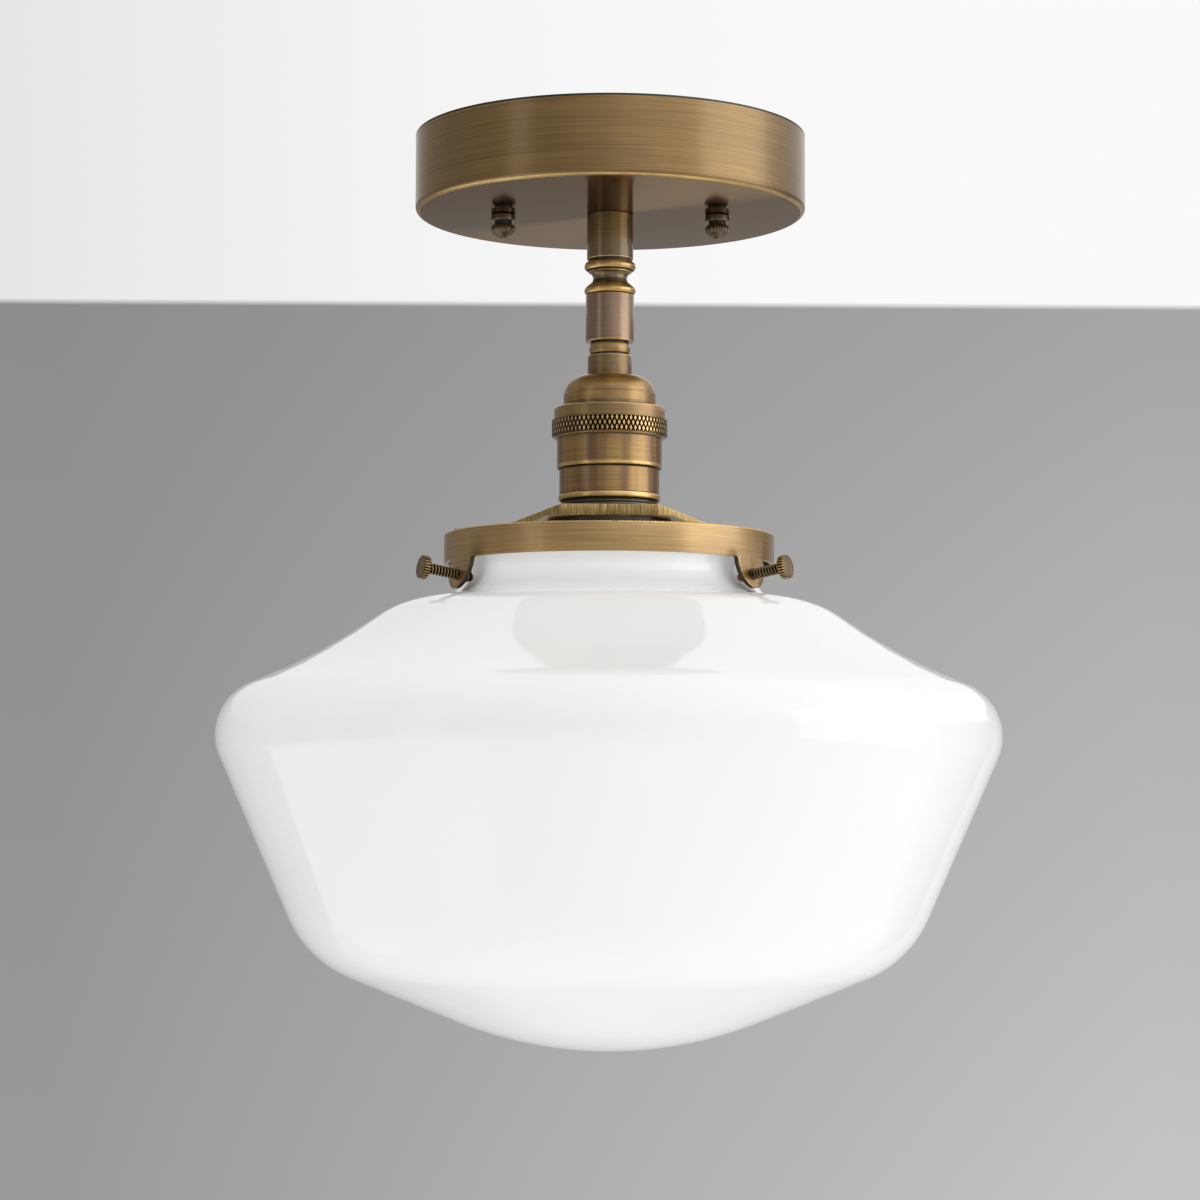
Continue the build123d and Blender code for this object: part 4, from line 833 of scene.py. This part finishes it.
schoolhouseGlobe = {
    "wall": 3.0, "neckRadius": 46.9, "neckTop": -138.5, "neckLength": 3.7,
    "lipRadius": 50.8, "lipEdge": 1.7, "lipHeight": 1.2, "rimTop": -132.6,
    # bends and straight runs down the outside: radius or length, degrees turned
    "cove": (9.3, 90), "shoulder": (32.8, -35.8), "sweep": (175.0, 14.7), "belly": (17.7, -92.5), "taper": 55.5,
    "corner": (36.3, -44.15), "bowl": 36.4, "foot": 22.25,
    "middle": -220,  # height that the inside faces
}

globe = Settings(schoolhouseGlobe)
bm = bmesh.new()
tops = []
for inset in (0, globe.wall):
    first = (globe.neckRadius - inset, globe.neckTop)
    moves = [(globe.neckLength, 0)]
    for part in ("cove", "shoulder", "sweep", "belly"):
        radius, turn = schoolhouseGlobe[part]
        moves.append((radius + inset if turn > 0 else radius - inset, turn))
    moves += [(globe.taper, 0), (globe.corner[0] - inset, globe.corner[1]), (globe.bowl, 0)]
    count = len(bm.verts)
    tip, heading = walkLine(bm, first, -90, moves, 4)
    bm.verts.ensure_lookup_table()
    tops.append(bm.verts[count])
    footRadius = tip.co.x / mm / sin(radians(globe.foot))
    tip, heading = walkLine(bm, (tip.co.x / mm, tip.co.z / mm), heading, [(footRadius, -globe.foot)], 2.5)
    tip.co.x = 0
rimPoints = [(globe.lipRadius, globe.rimTop - globe.lipEdge - globe.lipHeight), (globe.lipRadius, globe.rimTop),
             (globe.neckRadius - globe.wall, globe.rimTop)]
rim = [bm.verts.new((x * mm, 0, z * mm)) for x, z in rimPoints]
for a, b in zip([tops[0]] + rim, rim + [tops[1]]):
    bm.edges.new((a, b))
bmesh.ops.bevel(bm, geom=[rim[1]], offset=globe.lipEdge * mm, segments=6, profile=0.5, material=-1)
bm = spun(bm, 200)
for face in bm.faces:
    middle = face.calc_center_median() / mm
    face.material_index = 1 if face.normal.dot(Vector((middle.x, middle.y, middle.z - globe.middle))) < 0 else 0
makePiece("opalGlobe", bm, ["casedOpalGlass", "casedOpalGlassInside"], ["glass_shade"], body="shade",
          sharp=60)

lampBulb = {
    "seatRadius": 12.05, "seatTop": -127.8, "baseFoot": -130.8, "neckRadius": 13.2, "neckLength": 6.0,
    "shoulderRadius": 29.9, "shoulderTurn": 44, "ballRadius": 30.0, "wall": 0.9, "gap": 0.05,
}

part = Settings(lampBulb)
bm = bmesh.new()
ends = []
for inset in (0, part.wall):
    count = len(bm.verts)
    tip, heading = walkLine(bm, (part.seatRadius - inset, part.seatTop), -90, [(part.seatTop - part.baseFoot, 0)], 6)
    bm.verts.ensure_lookup_table()
    ends.append(bm.verts[count])
    step = bm.verts.new(((part.neckRadius - inset) * mm, 0, (part.baseFoot - part.gap - inset) * mm))
    bm.edges.new((tip, step))
    moves = [(part.neckLength, 0), (part.shoulderRadius + inset, part.shoulderTurn),
             (part.ballRadius - inset, -90 - part.shoulderTurn)]
    tip, heading = walkLine(bm, (step.co.x / mm, step.co.z / mm), -90, moves, 6)
    tip.co.x = 0
bm.edges.new(ends)
bm = spun(bm, 96)
makePiece("bulbGlass", bm, ["frostedBulbGlass"], ["bulb_glass"], body="bulb", sharp=60)
print("glass made")


# hidden hardware: screw threads on the rod and studs, and softened edges

nippleRod = {"crest": 4.85, "root": 4.4, "pitch": 0.94, "bore": 3.2, "top": -17.4, "foot": -83.6}
mountingStuds = {"crest": 2.08, "root": 1.7, "pitch": 0.79, "top": 0.0, "foot": -30.8}

part = Settings(nippleRod)
bm = threaded(part.crest, part.root, part.pitch, part.foot, part.top, perTurn=32, hole=part.bore)
makePiece("nippleRod", bm, ["zincPlatedSteel"], ["threaded_rod"], sharp=25)

part = Settings(mountingStuds)
bm = bmesh.new()
for place in (-canopyKnob["spacing"] / 2, canopyKnob["spacing"] / 2):
    thread = threaded(part.crest, part.root, part.pitch, part.foot, part.top, perTurn=20)
    bmesh.ops.translate(thread, verts=thread.verts[:], vec=(place * mm, 0, 0))
    addMesh(bm, thread)
makePiece("mountingStuds", bm, ["zincPlatedSteel"], ["canopy_studs"], sharp=25)

for name, node, width in (("steelCrossbar", "crossbar", 0.25), ("stemNut", "stem_nut", 0.35),
                          ("studLockNuts", "stud_lock_nuts", 0.25)):
    bm = cadCopy(node)
    softenEdges(bm, width, sharper=40)
    makePiece(name, bm, ["zincPlatedSteel"], [node], sharp=30)

dressedNodes = {
    "rolledBrushedBrass": ["bridge_rivets"],
    "zincPlatedSteel": ["lock_washer"],
    "greenEnamel": ["ground_screw"],
    "pressedFibre": ["cap_insulator", "shell_insulator"],
    "mouldedPhenolic": ["socket_core"],
    "stampedBrass": ["hot_terminal", "contact_rivet", "centre_contact", "terminal_screws", "shell_rivets"],
    "nickelPlatedBrass": ["neutral_terminal", "screw_shell"],
    "rolledAluminium": ["bulb_base"],
    "pressedBlackGlass": ["bulb_insulator"],
    "tinnedContact": ["bulb_contact"],
}
for finish, nodes in dressedNodes.items():
    for node in nodes:
        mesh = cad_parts[node].data
        mesh.materials.clear()
        mesh.materials.append(finishes[finish])
print("hardware dressed")


# floor, wall and light

studio = {
    "floor": -1700, "wall": 2000, "halfWidth": 5000, "wallHalf": 1400,  # mm
    # where the grey wall meets the white ceiling, and how that line leans
    "ceilingLine": 284, "lineFall": 0.0018, "lineBlur": 3,
    "wallPale": "#c5c5c5", "wallDark": "#8a8a8a",
    "leftShare": (0.78, 0.97), "rightShare": (0.01, 0.6),  # of the dark grey, at foot and top
    "fallHeights": (-600, 300), "fallHalf": 530, "overlap": 12,  # where foot, top and sides are
    "floorColour": "#c9c9c9", "floorPatch": "#d1d1d1",
    "softSky": (0.0, 0.6, 0.76, 0.98),  # light on matt surfaces: from level to high up, and how strong at each
}


def stagePlane(name, corners, material):
    bm = bmesh.new()
    bmesh.ops.create_grid(bm, x_segments=1, y_segments=1, size=1.0)
    bm.verts.ensure_lookup_table()
    for v, corner in zip(bm.verts, corners):
        v.co = Vector(corner) * mm
    mesh = bpy.data.meshes.new(name)
    bm.to_mesh(mesh)
    bm.free()
    mesh.materials.append(material)
    plane = bpy.data.objects.new(name, mesh)
    scene.collection.objects.link(plane)
    plane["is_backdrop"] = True


def straightRays(tree):
    # 1 for rays that show what they meet: from the camera, off gloss or through glass
    rays = addNode(tree, "LightPath").outputs
    shown = addNode(tree, "Math", {0: rays["Is Camera Ray"], 1: rays["Is Glossy Ray"]}, operation="MAXIMUM")
    return addNode(tree, "Math", {0: shown, 1: rays["Is Transmission Ray"]}, operation="MAXIMUM")


wallPaint, tree = newMaterial("mattWallPaint")  # flat emulsion: even grey with a soft fall of light across it
place = addNode(tree, "TexCoord").outputs["Object"]
parts = addNode(tree, "SeparateXYZ", {0: place})
bottom, top = (height * mm for height in studio["fallHeights"])
shares = []
for side in ("leftShare", "rightShare"):
    low, high = studio[side]
    shares.append(addNode(tree, "MapRange", {"Value": parts.outputs[2], 1: bottom, 2: top, 3: low, 4: high}))
side = studio["fallHalf"] * mm
fall = addNode(tree, "MapRange", {"Value": parts.outputs[0], 1: -side, 2: side, 3: shares[0], 4: shares[1]})
grey = addNode(tree, "Mix", {0: fall, 6: hexColour(studio["wallPale"]), 7: hexColour(studio["wallDark"])},
               data_type="RGBA")
lineAt, blur = studio["ceilingLine"] * mm, studio["lineBlur"] * mm
leant = addNode(tree, "Math", {0: parts.outputs[0], 1: studio["lineFall"], 2: parts.outputs[2]},
                operation="MULTIPLY_ADD")
above = addNode(tree, "MapRange", {"Value": leant, 1: lineAt - blur, 2: lineAt + blur})
seen = addNode(tree, "Emission", {"Color": grey, "Strength": 1.0})
surface = addNode(tree, "BsdfPrincipled", {"Base Color": hexColour(studio["wallPale"]), "Roughness": 0.9})
choice = addNode(tree, "MixShader", {0: straightRays(tree), 1: surface, 2: seen})
clear = addNode(tree, "BsdfTransparent")
choice = addNode(tree, "MixShader", {0: above, 1: choice, 2: clear})
addNode(tree, "OutputMaterial", {"Surface": choice})

floorPaint, tree = newMaterial("paleFloorPaint")  # pale matt paint, very slightly uneven
place = addNode(tree, "TexCoord").outputs["Object"]
uneven = addNode(tree, "TexNoise", {"Vector": place, "Scale": 3.0, "Detail": 2.0})
even, patch = hexColour(studio["floorColour"]), hexColour(studio["floorPatch"])
shade = addNode(tree, "Mix", {0: uneven, 6: even, 7: patch}, data_type="RGBA")
surface = addNode(tree, "BsdfPrincipled", {"Base Color": shade, "Roughness": 0.85})
addNode(tree, "OutputMaterial", {"Surface": surface})

wide, half, deep = studio["halfWidth"], studio["wallHalf"], studio["wall"]
floorAt, wallTop = studio["floor"], studio["ceilingLine"] + studio["overlap"]
stagePlane("paleFloor", [(x, y, floorAt) for y in (-wide, deep) for x in (-wide, wide)], floorPaint)
stagePlane("greyWall", [(x, deep, z) for z in (floorAt, wallTop) for x in (-half, half)], wallPaint)

room = {
    # brightness that the camera and glossy surfaces see: a white ceiling behind the lamp, a darker room in front.
    # Each changes along one axis of the line of sight: from, to, and the brightness at each.
    "behind": (-0.8, 0.12, 0.35, 0.955), "flank": (0.25, 0.75, 1.0, 0.85), "front": (0.0, 0.6, 0.42, 0.85),
    "side": (-0.8, 1.0, 0.52, 2.02), "join": (0.1, 0.6, 0.0, 1.0), "cornice": (0.13, 0.165, 0.0, 1.0),
    "wall": 0.29,  # the room's walls, below the cornice
}
world = bpy.data.worlds.new("studioRoom")
scene.world = world
world.use_nodes = True
tree = world.node_tree
tree.nodes.clear()
way = addNode(tree, "TexCoord").outputs["Generated"]
parts = addNode(tree, "SeparateXYZ", {0: way})
levels = {}
for name, axis in (("behind", 0), ("flank", 0), ("front", 2), ("side", 0), ("join", 1), ("cornice", 2)):
    low, high, lowest, highest = room[name]
    levels[name] = addNode(tree, "MapRange", {"Value": parts.outputs[axis], 1: low, 2: high, 3: lowest, 4: highest},
                           interpolation_type="SMOOTHSTEP")
front = addNode(tree, "Math", {0: levels["front"], 1: levels["side"]}, operation="MULTIPLY")
back = addNode(tree, "Math", {0: levels["behind"], 1: levels["flank"]}, operation="MULTIPLY")
back = addNode(tree, "MapRange", {"Value": levels["cornice"], 3: room["wall"], 4: back})
level = addNode(tree, "MapRange", {"Value": levels["join"], 3: front, 4: back})
low, high, lowest, highest = studio["softSky"]
sky = addNode(tree, "MapRange", {"Value": parts.outputs[2], 1: low, 2: high, 3: lowest, 4: highest},
              interpolation_type="SMOOTHSTEP")
soft = addNode(tree, "Background", {"Color": hexColour("#ffffff"), "Strength": sky})
pale = addNode(tree, "Background", {"Color": hexColour("#ffffff"), "Strength": level})
choice = addNode(tree, "MixShader", {0: straightRays(tree), 1: soft, 2: pale})
addNode(tree, "OutputWorld", {"Surface": choice})

softLights = {
    # place, aim (mm), width, height (mm), watts, and whether it shows in gloss and lights matt surfaces
    "keyWindow": ((1455, -363, -60), (0, 0, -180), 1300, 1300, 5.45, True, True),
    "keyFill": ((1400, -350, -800), (0, 0, -200), 1300, 1300, 1.7, False, True),
    "leftWindow": ((-1200, -900, 0), (0, 0, -180), 350, 1300, 0.7, True, True),
    "lowLeftWindow": ((-1200, -150, -1045), (0, 0, -220), 2000, 900, 1.9, True, False),
    "lowFill": ((0, -200, -1500), (0, 0, -250), 1400, 1400, 7.8, False, True),
}
for name, (place, aim, width, height, watts, inGloss, onMatt) in softLights.items():
    lamp = bpy.data.lights.new(name, "AREA")
    lamp.shape = "RECTANGLE"
    lamp.size, lamp.size_y = width * mm, height * mm
    lamp.energy = watts
    holder = bpy.data.objects.new(name, lamp)
    holder.location = Vector(place) * mm
    holder.rotation_euler = (Vector(aim) - Vector(place)).to_track_quat("-Z", "Y").to_euler()
    holder.visible_camera = False
    holder.visible_glossy, holder.visible_diffuse = inGloss, onMatt
    scene.collection.objects.link(holder)
print("stage and lights set")

low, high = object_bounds()
